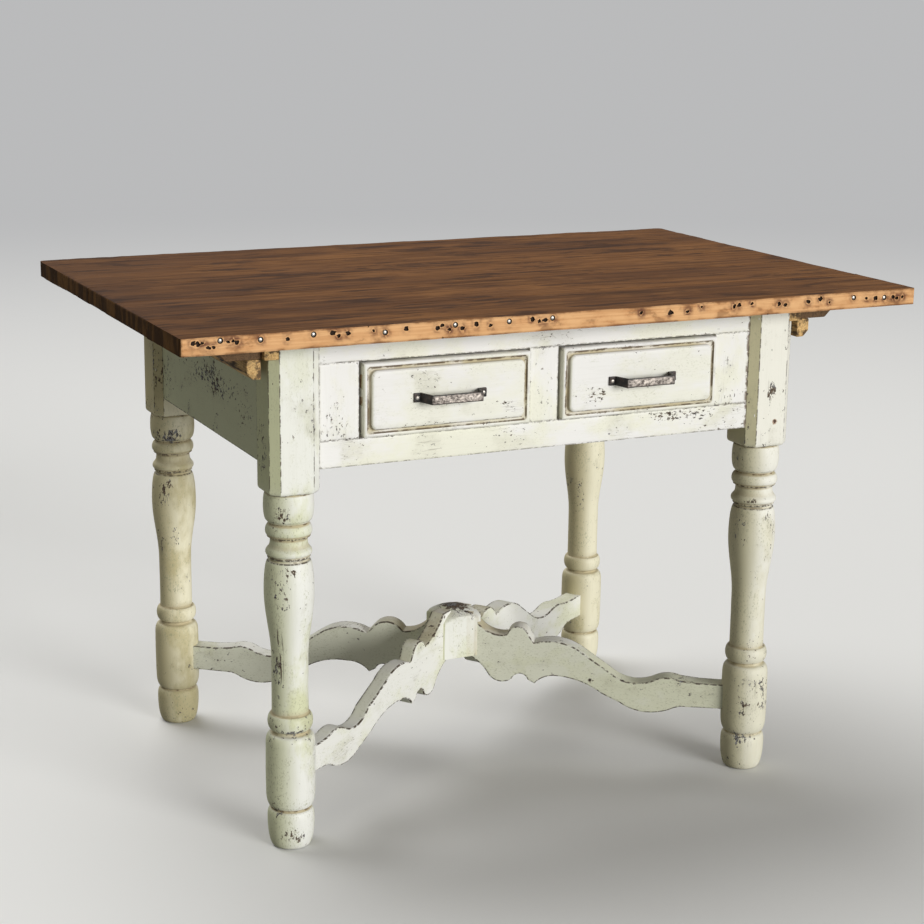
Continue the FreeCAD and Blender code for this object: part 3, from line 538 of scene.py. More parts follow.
def slab(points, shift):
    # a flat outline drawn out into a solid
    bm = bmesh.new()
    face = bm.faces.new([bm.verts.new(point) for point in points])
    grown = bmesh.ops.extrude_face_region(bm, geom=[face])
    bmesh.ops.translate(bm, vec=shift, verts=newVerts(grown))
    bmesh.ops.recalc_face_normals(bm, faces=bm.faces)
    return bm


def domed(bm, radius, flatness, place, rings):
    # the round head of a nail or a screw
    head = bmesh.ops.create_uvsphere(bm, u_segments=16, v_segments=rings, radius=radius)["verts"]
    bmesh.ops.scale(bm, vec=(1.0, flatness, 1.0), verts=head)
    bmesh.ops.translate(bm, vec=place, verts=head)


def cutAlong(bm, axis, cell, shortest=0, spare=1):
    # divides every edge that runs along the axis into cells of about this length;
    # shortest leaves out the edges that are not this many cells long
    edges = []
    for edge in bm.edges:
        run = edge.verts[0].co - edge.verts[1].co
        if abs(run[axis]) > 0.99 * run.length and run.length > shortest * cell:
            edges.append(edge)
    cuts = round(edges[0].calc_length() / cell) - spare if edges else 0
    if cuts > 0:
        bmesh.ops.subdivide_edges(bm, edges=edges, cuts=cuts, use_grid_fill=True)


def sharpEdges(bm, angle=0.6):
    return [e for e in bm.edges if len(e.link_faces) == 2 and e.calc_face_angle() > angle]


def rounded(bm, edges, offset, segments=2):
    bmesh.ops.bevel(bm, geom=edges, offset=offset, segments=segments, profile=0.5,
                    affect="EDGES", material=-1, clamp_overlap=True)


def wavered(bm, waver, seed):
    # hand-planed surfaces are never quite flat
    amount, scale = waver
    shift = Vector((seed, seed * 1.7, seed * 0.6))
    for vert in bm.verts:
        vert.co += noise.noise_vector(vert.co * scale + shift) * amount


def markWear(bm, wear, spots=()):
    # edge wear where the surface bends outwards, groove dirt where it bends inwards
    reach, edgeLow, edgeHigh = wear
    bmesh.ops.recalc_face_normals(bm, faces=bm.faces)
    bm.normal_update()
    names = ("edge wear", "groove dirt", "deep line", "worn spot")
    wearLayer, dirtLayer, deepLayer, spotLayer = [bm.verts.layers.float.new(name) for name in names]
    for vert in bm.verts:
        bends = [0.0]
        for edge in vert.link_edges:
            other = edge.other_vert(vert)
            run = other.co - vert.co
            if run.length > 1e-7:
                bends.append((other.normal - vert.normal).dot(run) / run.length_squared)
        vert[wearLayer] = clamped((max(bends) - edgeLow) / (edgeHigh - edgeLow))
        vert[dirtLayer] = clamped((-min(bends) - 30.0) / 150.0)
        vert[deepLayer] = clamped((-min(bends) - 250.0) / 450.0)
        for centre, size, strength in spots:
            near = 1.0 - ovalDistance(vert.co - Vector(centre), size)
            vert[spotLayer] = max(vert[spotLayer], strength * clamped(1.6 * near))
    spread = {}
    for vert in bm.verts:
        near = [vert[wearLayer]]
        for edge in vert.link_edges:
            near.append(edge.other_vert(vert)[wearLayer] * math.exp(-edge.calc_length() / reach))
        spread[vert] = max(near)
    for vert, value in spread.items():
        vert[wearLayer] = value


def finished(name, bm, materials, body, replaces=()):
    # an edge shows as an edge when its faces meet at more than this angle
    sharp = 0.62
    bmesh.ops.recalc_face_normals(bm, faces=bm.faces)
    mesh = bpy.data.meshes.new(name)
    for face in bm.faces:
        face.smooth = True
    for edge in bm.edges:
        edge.smooth = not (len(edge.link_faces) == 2 and edge.calc_face_angle() > sharp)
    bm.to_mesh(mesh)
    bm.free()
    for material in materials:
        mesh.materials.append(material)
    piece = added(name, mesh)
    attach(piece, body)
    if replaces:
        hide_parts(*replaces)
    return piece


def painted(name, bm, coat, body, node):
    return finished(name, bm, [paint[coat]], body, [node])


# ---- legs

legShape = {
    "postWidth": 75.0, "postChamfer": 12.5, "postBottom": 538.0, "shoulder": 6.5, "shoulderIn": 4.0,
    "notchDepth": 27.2, "ringStep": 9.0, "arris": 2.2, "beadOut": 5.8,
    "waver": (0.00045, 9.0), "wear": (0.002, 90.0, 300.0),
    # where the beads are that were turned fuller on some legs, and how fast that sets in and ends
    "fullFrom": 438.0, "fullTo": 493.0, "fullStart": 6.0, "fullEnd": 4.0,
    # paint has filled the narrow grooves round the thin ring: their heights, and the dirt that is left
    "filledFrom": 0.436, "filledTo": 0.4455, "filledDirt": 0.55,
    # long scratches down the front left leg: middle and reach
    "scratchMiddle": (-25.0, -20.0, 288.0), "scratchReach": (9.0, 11.0, 62.0),
}
latheSteps = 96
# how much fuller than the pattern a leg's beads were turned, in millimetres
fuller = {"leg_front_right": 1.7, "leg_back_left": 0.6, "leg_back_right": 0.9}
legPaint = {"leg_front_left": "paintLegs", "leg_front_right": "paintLegRight"}
# worn spots: middle and reach in millimetres, and strength
legSpots = {
    "leg_front_left": [((-24, -26, 385), (22, 22, 50), 0.5), ((-20, -28, 512), (15, 18, 22), 1.1),
                       ((-26, -20, 290), (16, 22, 60), 0.6), ((-26, -24, 300), (5, 9, 26), 0.9),
                       ((-22, -27, 256), (5, 9, 22), 0.8), ((-8, -30, 183), (26, 18, 6), 0.9),
                       ((-34, -20, 485), (12, 20, 22), 0.9), ((-10, -30, 425), (20, 14, 10), 0.95),
                       ((-6, -28, 24), (28, 18, 18), 0.95), ((-28, -18, 70), (14, 20, 22), 0.8),
                       ((-37, 5, 600), (8, 30, 60), 0.7), ((-6, -37, 620), (10, 8, 12), 0.6)],
    "leg_front_right": [((0, -37, 627), (15, 8, 28), 1.35), ((8, -37, 578), (7, 8, 9), 0.5),
                        ((0, -30, 120), (40, 40, 60), 0.42), ((24, -30, 690), (10, 12, 60), 0.5),
                        ((-20, -28, 450), (16, 14, 8), 1.2), ((-20, -24, 60), (30, 26, 22), 0.7)],
    "leg_back_left": [((0, -30, 20), (40, 40, 30), 0.5), ((-12, -30, 505), (28, 30, 20), 1.1),
                      ((-20, -26, 415), (16, 20, 24), 1.15), ((-6, -28, 330), (10, 16, 26), 0.8),
                      ((-20, -20, 600), (30, 30, 40), 0.6)],
    "leg_back_right": [((-20, -20, 330), (20, 20, 60), 0.6), ((-10, -30, 500), (20, 20, 20), 0.5)],
}


def curved(points, shape, radius, height, steps):
    # goes on from the last point to this one; shape says how far across and up each step is,
    # and how far it swells out on the way
    r, z = points[-1]
    for i in range(1, steps + 1):
        across, up, out = shape(i / steps)
        points.append((r + (radius - r) * across + out, z + (height - z) * up))


def swelling(part):
    # a quarter of an oval that ends upright
    return math.sin(math.pi / 2 * part), 1.0 - math.cos(math.pi / 2 * part), 0.0


def narrowing(part):
    # a quarter of an oval that starts upright
    return 1.0 - math.cos(math.pi / 2 * part), math.sin(math.pi / 2 * part), 0.0


def bead(part):
    ease = (1.0 - math.cos(math.pi * part)) / 2
    return ease, ease, legShape["beadOut"] * math.sin(math.pi * part)


def slender(part):
    # an S from one radius to another
    return (1.0 - math.cos(math.pi * part)) / 2, part, 0.0


def blankRadius(width, chamfer):
    # a round blank that holds the chamfered square, with a little to spare
    return math.hypot(width / 2, width / 2 - chamfer) + 0.2


def legProfile(topZ):
    # radius and height in millimetres, from the floor up
    low = legShape["postBottom"]
    points = [(0, 0), (23.5, 0), (25.8, 0.7)]
    curved(points, swelling, 34.5, 41, 9)
    points.append((34.5, 46))
    curved(points, narrowing, 29.8, 58.6, 6)
    points += [(28.9, 59.6), (28.6, 60.5), (28.9, 61.4), (29.8, 62.4)]
    curved(points, swelling, 36, 84, 7)
    points += [(36.2, 97), (36.3, 110), (36.3, 122), (36.3, 134), (36.2, 147), (36, 160)]
    curved(points, narrowing, 29.5, 174.6, 6)
    points += [(26.6, 175.6), (25.6, 176.8), (25.4, 178), (25.6, 179.2), (27, 180.4)]
    curved(points, bead, 27.4, 205, 14)
    points += [(26.8, 206.4), (26.7, 209), (26.7, 216), (26.6, 228), (26.6, 240), (26.6, 252),
               (26.6, 264), (26.7, 276), (26.7, 288)]
    curved(points, slender, 36.5, 390, 14)
    curved(points, narrowing, 30.2, 436.4, 10)
    # a thin ring, then a bead that flares out of a plain neck, a lip and the upper bead
    points += [(28.3, 437.2), (27.8, 438.4), (28.3, 439.6), (30.2, 440.3), (31.1, 441.5), (30.7, 442.8),
               (29.9, 443.5), (30, 444.2), (31.2, 444.8), (32.8, 446.1), (33.5, 448.3), (33.3, 450.8),
               (32.4, 452.9), (30.7, 455), (29, 457.1), (27.8, 459.6), (27.2, 462.8), (27, 466.2),
               (26.9, 469.4), (27.2, 470.6), (29.7, 471.1), (31.1, 471.9), (31.3, 472.9), (31.1, 473.9),
               (31.9, 474.8), (33.2, 476.7), (33.8, 479.6), (33.7, 482.8), (32.9, 486), (31.4, 488.7),
               (29.6, 490.5), (28.8, 491.8), (29.1, 493), (30.6, 493.9), (31.6, 495.6)]
    curved(points, swelling, 36.5, 517, 8)
    curved(points, narrowing, 33.4, 537.4, 6)
    # the post: close rings in its rounded shoulder, and two at the notch for the bearer strip
    corner = blankRadius(legShape["postWidth"], legShape["postChamfer"])
    for i in range(7):
        points.append((corner, low + legShape["shoulder"] * (1 - math.cos(math.pi / 2 * i / 6))))
    notch = topZ - legShape["notchDepth"]
    z = low + legShape["shoulder"]
    while z + legShape["ringStep"] < notch - 2.0:
        z += legShape["ringStep"]
        points.append((corner, z))
    for z in (notch - 0.15, notch + 0.15, notch + 9.0, notch + 18.0, topZ):
        points.append((corner, z))
    return points + [(0.0, topZ)]


def latheMesh(points):
    bm = bmesh.new()
    verts = [bm.verts.new((r * mm, 0.0, z * mm)) for r, z in points]
    edges = [bm.edges.new(pair) for pair in zip(verts, verts[1:])]
    bmesh.ops.spin(bm, geom=verts + edges, cent=(0, 0, 0), axis=(0, 0, 1), angle=math.tau,
                   steps=latheSteps, use_merge=True)
    bmesh.ops.remove_doubles(bm, verts=bm.verts, dist=tiny)
    return bm


def pressedSquare(bm, width, chamfer, fromZ, notchZ=None, outward=0, shoulder=0.0, shoulderIn=0.0):
    # draws the round blank in to a chamfered square, rounds its foot and notches its outer top
    slant = 0.414   # how far the flats draw in for each step of the sides
    for vert in bm.verts:
        if vert.co.z < fromZ - 1e-5:
            continue
        inset = 0.0
        if shoulder and vert.co.z < fromZ + shoulder:
            short = min(1.0, (fromZ + shoulder - vert.co.z) / shoulder)
            inset = shoulderIn * (1 - math.sqrt(1 - short ** 2))
        half, flat = width * mm / 2 - inset, (width / 2 - chamfer) * mm - inset * slant
        x, y = abs(vert.co.x), abs(vert.co.y)
        grown = max(x / half, y / half, (x + y) / (half + flat))
        if grown > 1.0:
            vert.co.x /= grown
            vert.co.y /= grown
        if notchZ is not None and vert.co.z > notchZ and vert.co.x * outward > flat:
            vert.co.x = outward * flat


def markLeg(bm, name):
    look = legShape
    for layer in (floats(bm, "groove dirt"), floats(bm, "deep line")):
        for vert in bm.verts:
            if look["filledFrom"] < vert.co.z < look["filledTo"]:
                vert[layer] *= look["filledDirt"]
    if name == "leg_front_left":
        scratchLayer = floats(bm, "scratched")
        for vert in bm.verts:
            away = [vert.co[i] / mm - look["scratchMiddle"][i] for i in range(3)]
            vert[scratchLayer] = max(0.0, 1.0 - ovalDistance(away, look["scratchReach"]))
    wearLayer = floats(bm, "edge wear")
    half, flat = look["postWidth"] / 2 * mm, (look["postWidth"] / 2 - look["postChamfer"]) * mm
    for vert in bm.verts:
        # handling wears the eight upright arrises of the post
        if vert.co.z > (look["postBottom"] + 5.0) * mm:
            x, y = abs(vert.co.x), abs(vert.co.y)
            away = min(math.hypot(x - half, y - flat), math.hypot(x - flat, y - half))
            vert[wearLayer] = max(vert[wearLayer], clamped(1.35 - away / (look["arris"] * mm)))


def buildLeg(name, seed):
    look = legShape
    low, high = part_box(name)
    centre = Vector(((low.x + high.x) / 2, (low.y + high.y) / 2, 0.0))
    outward = 1 if name.endswith("right") else -1
    profile = []
    for r, z in legProfile(high.z / mm):
        part = min((z - look["fullFrom"]) / look["fullStart"], (look["fullTo"] - z) / look["fullEnd"])
        profile.append((r + fuller.get(name, 0.0) * clamped(part), z))
    bm = latheMesh(profile)
    pressedSquare(bm, look["postWidth"], look["postChamfer"], look["postBottom"] * mm,
                  high.z - look["notchDepth"] * mm, outward, look["shoulder"] * mm, look["shoulderIn"] * mm)
    wavered(bm, look["waver"], seed)
    for vert in bm.verts:
        vert.co.z = clamped(vert.co.z, low.z, high.z)
    markWear(bm, look["wear"], [(Vector(c) * mm, Vector(s) * mm, k) for c, s, k in legSpots[name]])
    markLeg(bm, name)
    bmesh.ops.translate(bm, vec=centre, verts=bm.verts)
    return painted(name + "_turned", bm, legPaint.get(name, "paintRearLegs"), "table", name)


corners = ("front_left", "front_right", "back_left", "back_right")
for count, corner in enumerate(corners):
    buildLeg("leg_" + corner, 3.0 + count * 5.0)
print("legs turned")


# ---- frame boards

frameShape = {
    "edge": 0.0006, "cell": 0.005, "postHalf": 0.0375, "lap": 0.0006,
    "waver": (0.0003, 7.0), "wear": (0.0012, 70.0, 320.0),
    # the joint at the right post: how far from it the dark line, dirt with painted shade, reaches and how
    # strong it is, then the same for a wider band of painted shade from the post's side facing left
    "darkReach": 0.0012, "jointDirtAndShade": 1.6, "postShadeReach": 0.0062, "postShadeStrength": 0.5,
}
frameSpots = {
    "front_top_rail": [((0.1, -0.3, 0.742), (0.1, 0.02, 0.012), 0.25),
                       ((0.29, -0.3, 0.728), (0.06, 0.02, 0.02), 0.35)],
    "front_bottom_rail": [((0.215, -0.3, 0.6), (0.08, 0.02, 0.014), 1.25),
                          ((-0.02, -0.3, 0.595), (0.06, 0.02, 0.012), 0.35)],
    "front_stile_left": [((-0.335, -0.3, 0.64), (0.03, 0.02, 0.045), 0.75)],
    "front_stile_right": [((0.315, -0.3, 0.66), (0.02, 0.02, 0.06), 0.3)],
    "front_muntin": [((-0.007, -0.3, 0.66), (0.03, 0.02, 0.06), 0.45)],
    "side_apron_left": [((-0.42, -0.01, 0.65), (0.02, 0.2, 0.034), 0.66),
                        ((-0.42, 0.17, 0.69), (0.02, 0.07, 0.04), 0.7),
                        ((-0.42, 0.03, 0.705), (0.02, 0.1, 0.025), 0.5),
                        ((-0.42, -0.17, 0.625), (0.02, 0.06, 0.05), 0.5)],
    "side_apron_right": [((0.41, 0.0, 0.66), (0.02, 0.14, 0.06), 0.7)],
    "back_apron": [((0.1, 0.3, 0.66), (0.2, 0.02, 0.05), 0.7)],
}
frameCoats = {
    "front_top_rail": ("paintRails", 11.0), "front_bottom_rail": ("paintRails", 12.0),
    "back_apron": ("paintBackApron", 13.0), "front_stile_left": ("paintUprights", 21.0),
    "front_muntin": ("paintUprights", 22.0), "front_stile_right": ("paintUprights", 23.0),
    "side_apron_left": ("paintLeftApronShaded", 31.0), "side_apron_right": ("paintSideRight", 32.0),
}


def middleOf(name):
    low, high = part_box(name)
    return (low + high) / 2


def buildFrameBoard(name, coat, seed):
    # the tenons are left out: the board runs from shoulder to shoulder
    look = frameShape
    low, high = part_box(name)
    first, last = middleOf("leg_front_left"), middleOf("leg_back_right")
    half, lap = look["postHalf"], look["lap"]
    if name.startswith("side"):
        low.y, high.y = first.y + half - lap, last.y - half + lap
    elif "rail" in name or name == "back_apron":
        low.x, high.x = first.x + half - lap, last.x - half + lap
    else:
        low.z, high.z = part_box("front_bottom_rail")[1].z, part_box("front_top_rail")[0].z
    bm = boxMesh(low, high)
    for axis in range(3):
        cutAlong(bm, axis, look["cell"])
    rounded(bm, sharpEdges(bm), look["edge"])
    wavered(bm, look["waver"], seed)
    markWear(bm, look["wear"], frameSpots[name])
    if name.startswith("front"):
        # dirt fills the joint at the right post, which has shrunk open; painted shade from the post's side
        # facing left darkens the board's end beside it
        deepLayer = floats(bm, "deep line")
        for vert in bm.verts:
            gap = last.x - half - vert.co.x
            if gap < look["postShadeReach"]:
                vert[deepLayer] = look["jointDirtAndShade"] if gap < look["darkReach"] else look["postShadeStrength"]
    return painted(name + "_board", bm, coat, "table", name)


for name, (coat, seed) in frameCoats.items():
    buildFrameBoard(name, coat, seed)
print("frame boards planed")


# ---- top

topShape = {
    "edge": 0.0024, "corner": 0.011, "cell": 0.01, "frontCell": 0.004, "thickCell": 0.0052,
    "seam": 0.00012, "seamEdge": 0.0004, "seamReach": 0.0008, "wear": (0.003, 70.0, 320.0),
    # where the wear of the ends and of the long sides begins, and over what width it grows
    "endsFrom": 0.57, "endsOver": 0.015, "lipsFrom": 0.372, "lipsOver": 0.0105,
    # what the upper and lower arrises, the ends and the long sides have lost: evenly, in long
    # waves and in short ones
    "losses": ((0.0005, 0.0006, 0.0003), (0.0, 0.0007, 0.0004), (0.0, 0.0008, 0.0004), (0.0, 0.0007, 0.0004)),
}
edgeMarks = {
    "holeRadius": 0.0036, "holeDepth": 0.004, "holeTaper": 0.7, "holeSides": 10, "holeIn": 0.0008,
    "ragged": 0.75, "raggedScale": 420,
    "nailRing": 0.0047, "nailRadius": 0.003, "nailFlatness": 0.62, "nailIn": 0.0019, "stainReach": 9.5,
}
# along the front edge from the left end, and down from the top, in millimetres
nailPlaces = [
    (55, 6.5), (111, 9), (186, 7), (290, 11), (395, 7.5), (478, 8), (546, 7.5), (1057, 9), (1113, 12)]
holePlaces = [
    (18, 8), (24, 9), (30, 8), (39, 15), (46, 15), (66, 9), (73, 8), (78, 10), (149, 10.5), (214, 6.5),
    (222, 11), (235, 8.5), (273, 7.5), (321, 8), (368, 10), (375, 7), (386, 13), (405, 13), (427, 9),
    (449, 11.5), (514, 7), (525, 10.5), (534, 10), (689, 9), (737, 12), (766, 12), (790, 7), (845, 9),
    (854, 8), (876, 7), (924, 10), (935, 12.5), (975, 10), (997, 7), (1013, 13), (1080, 11), (1097, 12),
    (1129, 12), (1136, 14), (1146, 13)]


def borerMesh(low, high):
    # one cutter for all the holes and for the rings round the nails
    look = edgeMarks
    cutter = bmesh.new()
    holes = [(x, z, look["holeRadius"] * (0.62 + 0.6 * ((x * 7) % 10) / 10)) for x, z in holePlaces]
    holes += [(x, z, look["nailRing"]) for x, z in nailPlaces]
    for x, z, radius in holes:
        verts = bmesh.ops.create_cone(cutter, cap_ends=True, segments=look["holeSides"], radius1=radius,
                                      radius2=radius * look["holeTaper"], depth=look["holeDepth"])["verts"]
        bmesh.ops.rotate(cutter, verts=verts, cent=(0, 0, 0), matrix=Matrix.Rotation(-math.pi / 2, 3, "X"))
        if radius < look["nailRing"]:
            stretch = 1.0 + 0.35 * ((x * 3) % 7) / 7
            bmesh.ops.scale(cutter, vec=(stretch, 1.0, 1.0), verts=verts)
            for vert in verts:
                fine = look["raggedScale"]
                ragged = noise.noise(Vector((vert.co.x * fine + x, vert.co.z * fine, x * 0.37)))
                vert.co.x *= 1.0 + look["ragged"] * ragged
                vert.co.z *= 1.0 + look["ragged"] * ragged
        place = (low.x + x * mm, low.y + look["holeIn"], high.z - z * mm)
        bmesh.ops.translate(cutter, vec=place, verts=verts)
    mesh = bpy.data.meshes.new("borer")
    cutter.to_mesh(mesh)
    cutter.free()
    mesh.materials.append(holeDirtAndShade)
    return mesh


def marksBored(piece, low, high):
    borer = added("borer", borerMesh(low, high))
    modifier = piece.modifiers.new("bored", "BOOLEAN")
    modifier.object = borer
    modifier.operation = "DIFFERENCE"
    modifier.solver = "EXACT"
    modifier.use_self = True
    modifier.material_mode = "TRANSFER"
    bpy.context.view_layer.update()
    solid = bpy.data.meshes.new_from_object(piece.evaluated_get(bpy.context.evaluated_depsgraph_get()))
    piece.modifiers.clear()
    piece.data = solid
    bpy.data.objects.remove(borer)


def uprightEdges(bm, y):
    # the vertical corner edges in one long side
    chosen = []
    for edge in sharpEdges(bm):
        a, b = (v.co for v in edge.verts)
        if same(a.x, b.x) and same(a.y, b.y) and same(a.y, y):
            chosen.append(edge)
    return chosen


def onSeam(edge, low, high, number, count):
    ys = [v.co.y for v in edge.verts]
    front = number > 1 and max(ys) < low.y + topShape["seamReach"]
    back = number < count and min(ys) > high.y - topShape["seamReach"]
    return front or back


def wornArrises(bm, low, high, number):
    # the edges wander, most of all along the front and the ends
    look = topShape
    for vert in bm.verts:
        wander = noise.noise(Vector((vert.co.x * 11, vert.co.y * 11, number * 3.0)))
        small = noise.noise(Vector((vert.co.x * 55, vert.co.y * 55, number * 5.0)))
        upper, lower, end, lip = [max(0.0, even + broad * wander + fine * small)
                                  for even, broad, fine in look["losses"]]
        ends = clamped((abs(vert.co.x) - look["endsFrom"]) / look["endsOver"])
        lips = clamped((abs(vert.co.y) - look["lipsFrom"]) / look["lipsOver"])
        if vert.co.z > (low.z + high.z) / 2:
            vert.co.z -= upper * (0.35 + max(ends, lips))
        else:
            vert.co.z += lower * max(ends, lips)
        vert.co.x -= math.copysign(end, vert.co.x) * ends
        vert.co.y -= math.copysign(lip, vert.co.y) * lips


def buildTopBoard(number, count):
    look = topShape
    name = "top_board_%d" % number
    low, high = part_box(name)
    front, back = low.copy(), high.copy()
    if number > 1:
        front.y += look["seam"]
    if number < count:
        back.y -= look["seam"]
    bm = boxMesh(front, back)
    cutAlong(bm, 0, look["cell"] if number > 1 else look["frontCell"])
    cutAlong(bm, 1, look["cell"])
    cutAlong(bm, 2, look["thickCell"])
    if number in (1, count):
        rounded(bm, uprightEdges(bm, front.y if number == 1 else back.y), look["corner"], 4)
    rounded(bm, [e for e in sharpEdges(bm) if not onSeam(e, low, high, number, count)], look["edge"], 3)
    rounded(bm, [e for e in sharpEdges(bm, 1.3) if onSeam(e, low, high, number, count)], look["seamEdge"], 1)
    for vert in bm.verts:
        # where two bevels cross at a joint's end, a point can overshoot: it goes back among its neighbours
        if abs(vert.co.x) > high.x + 1e-5:
            others = [edge.other_vert(vert).co for edge in vert.link_edges]
            vert.co = sum(others, Vector()) / len(others)
    wornArrises(bm, low, high, number)
    markWear(bm, look["wear"])
    wearLayer = floats(bm, "edge wear")
    for vert in bm.verts:
        # the joints between the boards stay tight and unworn
        inside = (number > 1 and vert.co.y < low.y + 0.02) or (number < count and vert.co.y > high.y - 0.02)
        if inside and abs(vert.co.x) < high.x - 0.006:
            vert[wearLayer] = 0.0
    stainLayer = floats(bm, "nail stain")
    if number == 1:
        for vert in bm.verts:
            if vert.co.y < front.y + 0.003:
                for x, z in nailPlaces + holePlaces:
                    away = math.hypot((vert.co.x - low.x) / mm - x, (high.z - vert.co.z) / mm - z)
                    vert[stainLayer] = max(vert[stainLayer], 1.0 - away / edgeMarks["stainReach"])
    # only the first board has a bare front edge, so for the others it lies far in front of them
    pineTop = topMaterial("topPine%d" % number, number * 1.9, low, high, front.y if number == 1 else -2.0)
    piece = finished(name + "_plank", bm, [pineTop, holeDirtAndShade], "table", [name])
    if number == 1:
        marksBored(piece, low, high)
    return piece


def buildEdgeNails():
    look = edgeMarks
    low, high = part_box("top_board_1")
    bm = bmesh.new()
    for x, z in nailPlaces:
        place = (low.x + x * mm, low.y + look["nailIn"], high.z - z * mm)
        domed(bm, look["nailRadius"], look["nailFlatness"], place, 10)
    return finished("edge_nails", bm, [nailHead], "table")


topCount = sum(1 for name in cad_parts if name.startswith("top_board_"))
for number in range(1, topCount + 1):
    buildTopBoard(number, topCount)
buildEdgeNails()
print("top laid")


# ---- battens and strips

battenShape = {
    "edge": 0.0016, "cell": 0.012, "waver": (0.0007, 16.0), "wear": (0.003, 70.0, 320.0),
    "boardChamfer": 0.012, "claspChamfer": 0.009,
}


def buildBatten(name, wood, chamfer, seed):
    look = battenShape
    low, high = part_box(name)
    bm = boxMesh(low, high)
    if chamfer:
        outer = high.x if low.x > 0 else low.x
        edges = [e for e in bm.edges if all(same(v.co.x, outer) and same(v.co.z, low.z) for v in e.verts)]
        bmesh.ops.bevel(bm, geom=edges, offset=chamfer, segments=1, profile=0.5, affect="EDGES", material=-1)
    rounded(bm, sharpEdges(bm), look["edge"])
    cutAlong(bm, 1, look["cell"])
    wavered(bm, look["waver"], seed)
    markWear(bm, look["wear"])
    return finished(name + "_wood", bm, [pine[wood]], "table", [name])


for count, sideName in enumerate(("left", "right")):
    buildBatten("bearer_strip_" + sideName, "claspPine", 0.0, 41.0 + count)
    buildBatten("batten_board_" + sideName, "battenPineShaded", battenShape["boardChamfer"], 43.0 + count)
    buildBatten("batten_clasp_" + sideName, "claspPine", battenShape["claspChamfer"], 45.0 + count)
print("battens fitted")


# ---- cross stretcher

armShape = {
    "edge": 0.0012, "cell": 0.0055, "inset": 0.0025, "arcSteps": 10, "waver": (0.0005, 14.0),
    "wear": (0.0016, 200.0, 600.0), "hubFlat": 25.0, "start": 233.0, "nearSide": 15.0,
    "farSide": -15.0, "tenon": 0.985, "endTop": 137.0, "endLow": 97.5,
    # dust and polish lie on the tops of the arms: all of it this near the hub, none this far away
    "dustAll": 60.0, "dustNone": 150.0,
}
# the four arms were sawn by hand, so each has its own outline. Along the arm (0 at the hub's
# flat, 1 at the leg's axis) and height in millimetres; four numbers are an arc through the
# first point to the second. Start is where the top meets the hub, and the sides are the
# distances of the faces from the centre line, the near one being towards the drawers.
byHub = [(0.4, 127.5, 0.325, 131.5), (0.29, 128.5, 0.251, 116), (0.226, 121.5),
         (0.193, 131, 0.168, 122), (0.132, 115, 0.08, 126.5), (0.047, 145, 0, 158)]
armSteps = {
    "front_right": {
        "upper": [(0.02, 230), (0.072, 201.5, 0.146, 196.5), (0.183, 211.5, 0.228, 197), (0.245, 185),
                  (0.318, 190.5, 0.425, 173.5), (0.522, 144.5), (0.617, 129.5, 0.684, 138),
                  (0.72, 142.5, 0.77, 139.5), (0.835, 137)],
        "lower": [(0.778, 95), (0.757, 92), (0.672, 81, 0.56, 94.5), (0.494, 107.5)] + byHub},
    "front_left": {
        "start": 236, "nearSide": 9,
        "upper": [(0.052, 236), (0.1, 214, 0.178, 197), (0.222, 211.5, 0.262, 198), (0.276, 184),
                  (0.345, 190.5, 0.445, 174.5), (0.56, 148), (0.648, 130, 0.705, 138),
                  (0.748, 144, 0.8, 139.5), (0.85, 137)],
        "lower": [(0.812, 95), (0.795, 92), (0.724, 80.5, 0.619, 91.5), (0.54, 107),
                  (0.44, 126.5, 0.345, 130), (0.305, 127, 0.268, 113), (0.24, 118.5),
                  (0.203, 128.5, 0.186, 118), (0.158, 111.5, 0.107, 124.6), (0.062, 146, 0, 158)]},
    "back_left": {
        "upper": [(0.02, 226), (0.06, 200, 0.128, 190), (0.19, 205, 0.243, 192), (0.262, 182.5),
                  (0.33, 191, 0.445, 175.5), (0.545, 146), (0.64, 130, 0.7, 138),
                  (0.735, 142.5, 0.78, 139.5), (0.84, 137)],
        "lower": [(0.78, 95), (0.76, 92), (0.68, 81, 0.575, 95), (0.515, 108),
                  (0.415, 129.5, 0.335, 131.5), (0.296, 129, 0.254, 115.7), (0.23, 121),
                  (0.196, 130.5, 0.17, 122)] + byHub[-2:]},
    "back_right": {
        "upper": [(0.02, 231), (0.055, 209, 0.104, 200), (0.16, 209, 0.198, 198), (0.211, 189),
                  (0.302, 197, 0.42, 177), (0.5, 153), (0.59, 137, 0.67, 139.5),
                  (0.72, 143, 0.77, 139.5), (0.835, 137)],
        "lower": [(0.81, 98.5), (0.775, 92), (0.69, 81.5, 0.575, 94.5), (0.5, 108)] + byHub},
}
armSpots = {
    "front_left": [((-0.062, -0.036, 0.21), (0.06, 0.04, 0.016), 0.6),
                   ((-0.2, -0.134, 0.16), (0.06, 0.045, 0.01), 0.5)],
    "front_right": [((0.3, -0.215, 0.14), (0.06, 0.045, 0.01), 0.6)],
}


def arcPoints(a, b, c, count):
    # points on the circle through a, b and c, from just after a to c
    d = 2 * (a[0] * (b[1] - c[1]) + b[0] * (c[1] - a[1]) + c[0] * (a[1] - b[1]))
    if abs(d) < 1e-9:
        return [b, c]
    sa, sb, sc = (p[0] ** 2 + p[1] ** 2 for p in (a, b, c))
    ux = (sa * (b[1] - c[1]) + sb * (c[1] - a[1]) + sc * (a[1] - b[1])) / d
    uy = (sa * (c[0] - b[0]) + sb * (a[0] - c[0]) + sc * (b[0] - a[0])) / d
    start, mid, end = (math.atan2(p[1] - uy, p[0] - ux) for p in (a, b, c))
    radius = math.hypot(a[0] - ux, a[1] - uy)
    turn = (end - start) % math.tau
    if (mid - start) % math.tau > turn:
        turn -= math.tau
    angles = [start + turn * i / count for i in range(1, count + 1)]
    return [(ux + radius * math.cos(angle), uy + radius * math.sin(angle)) for angle in angles]


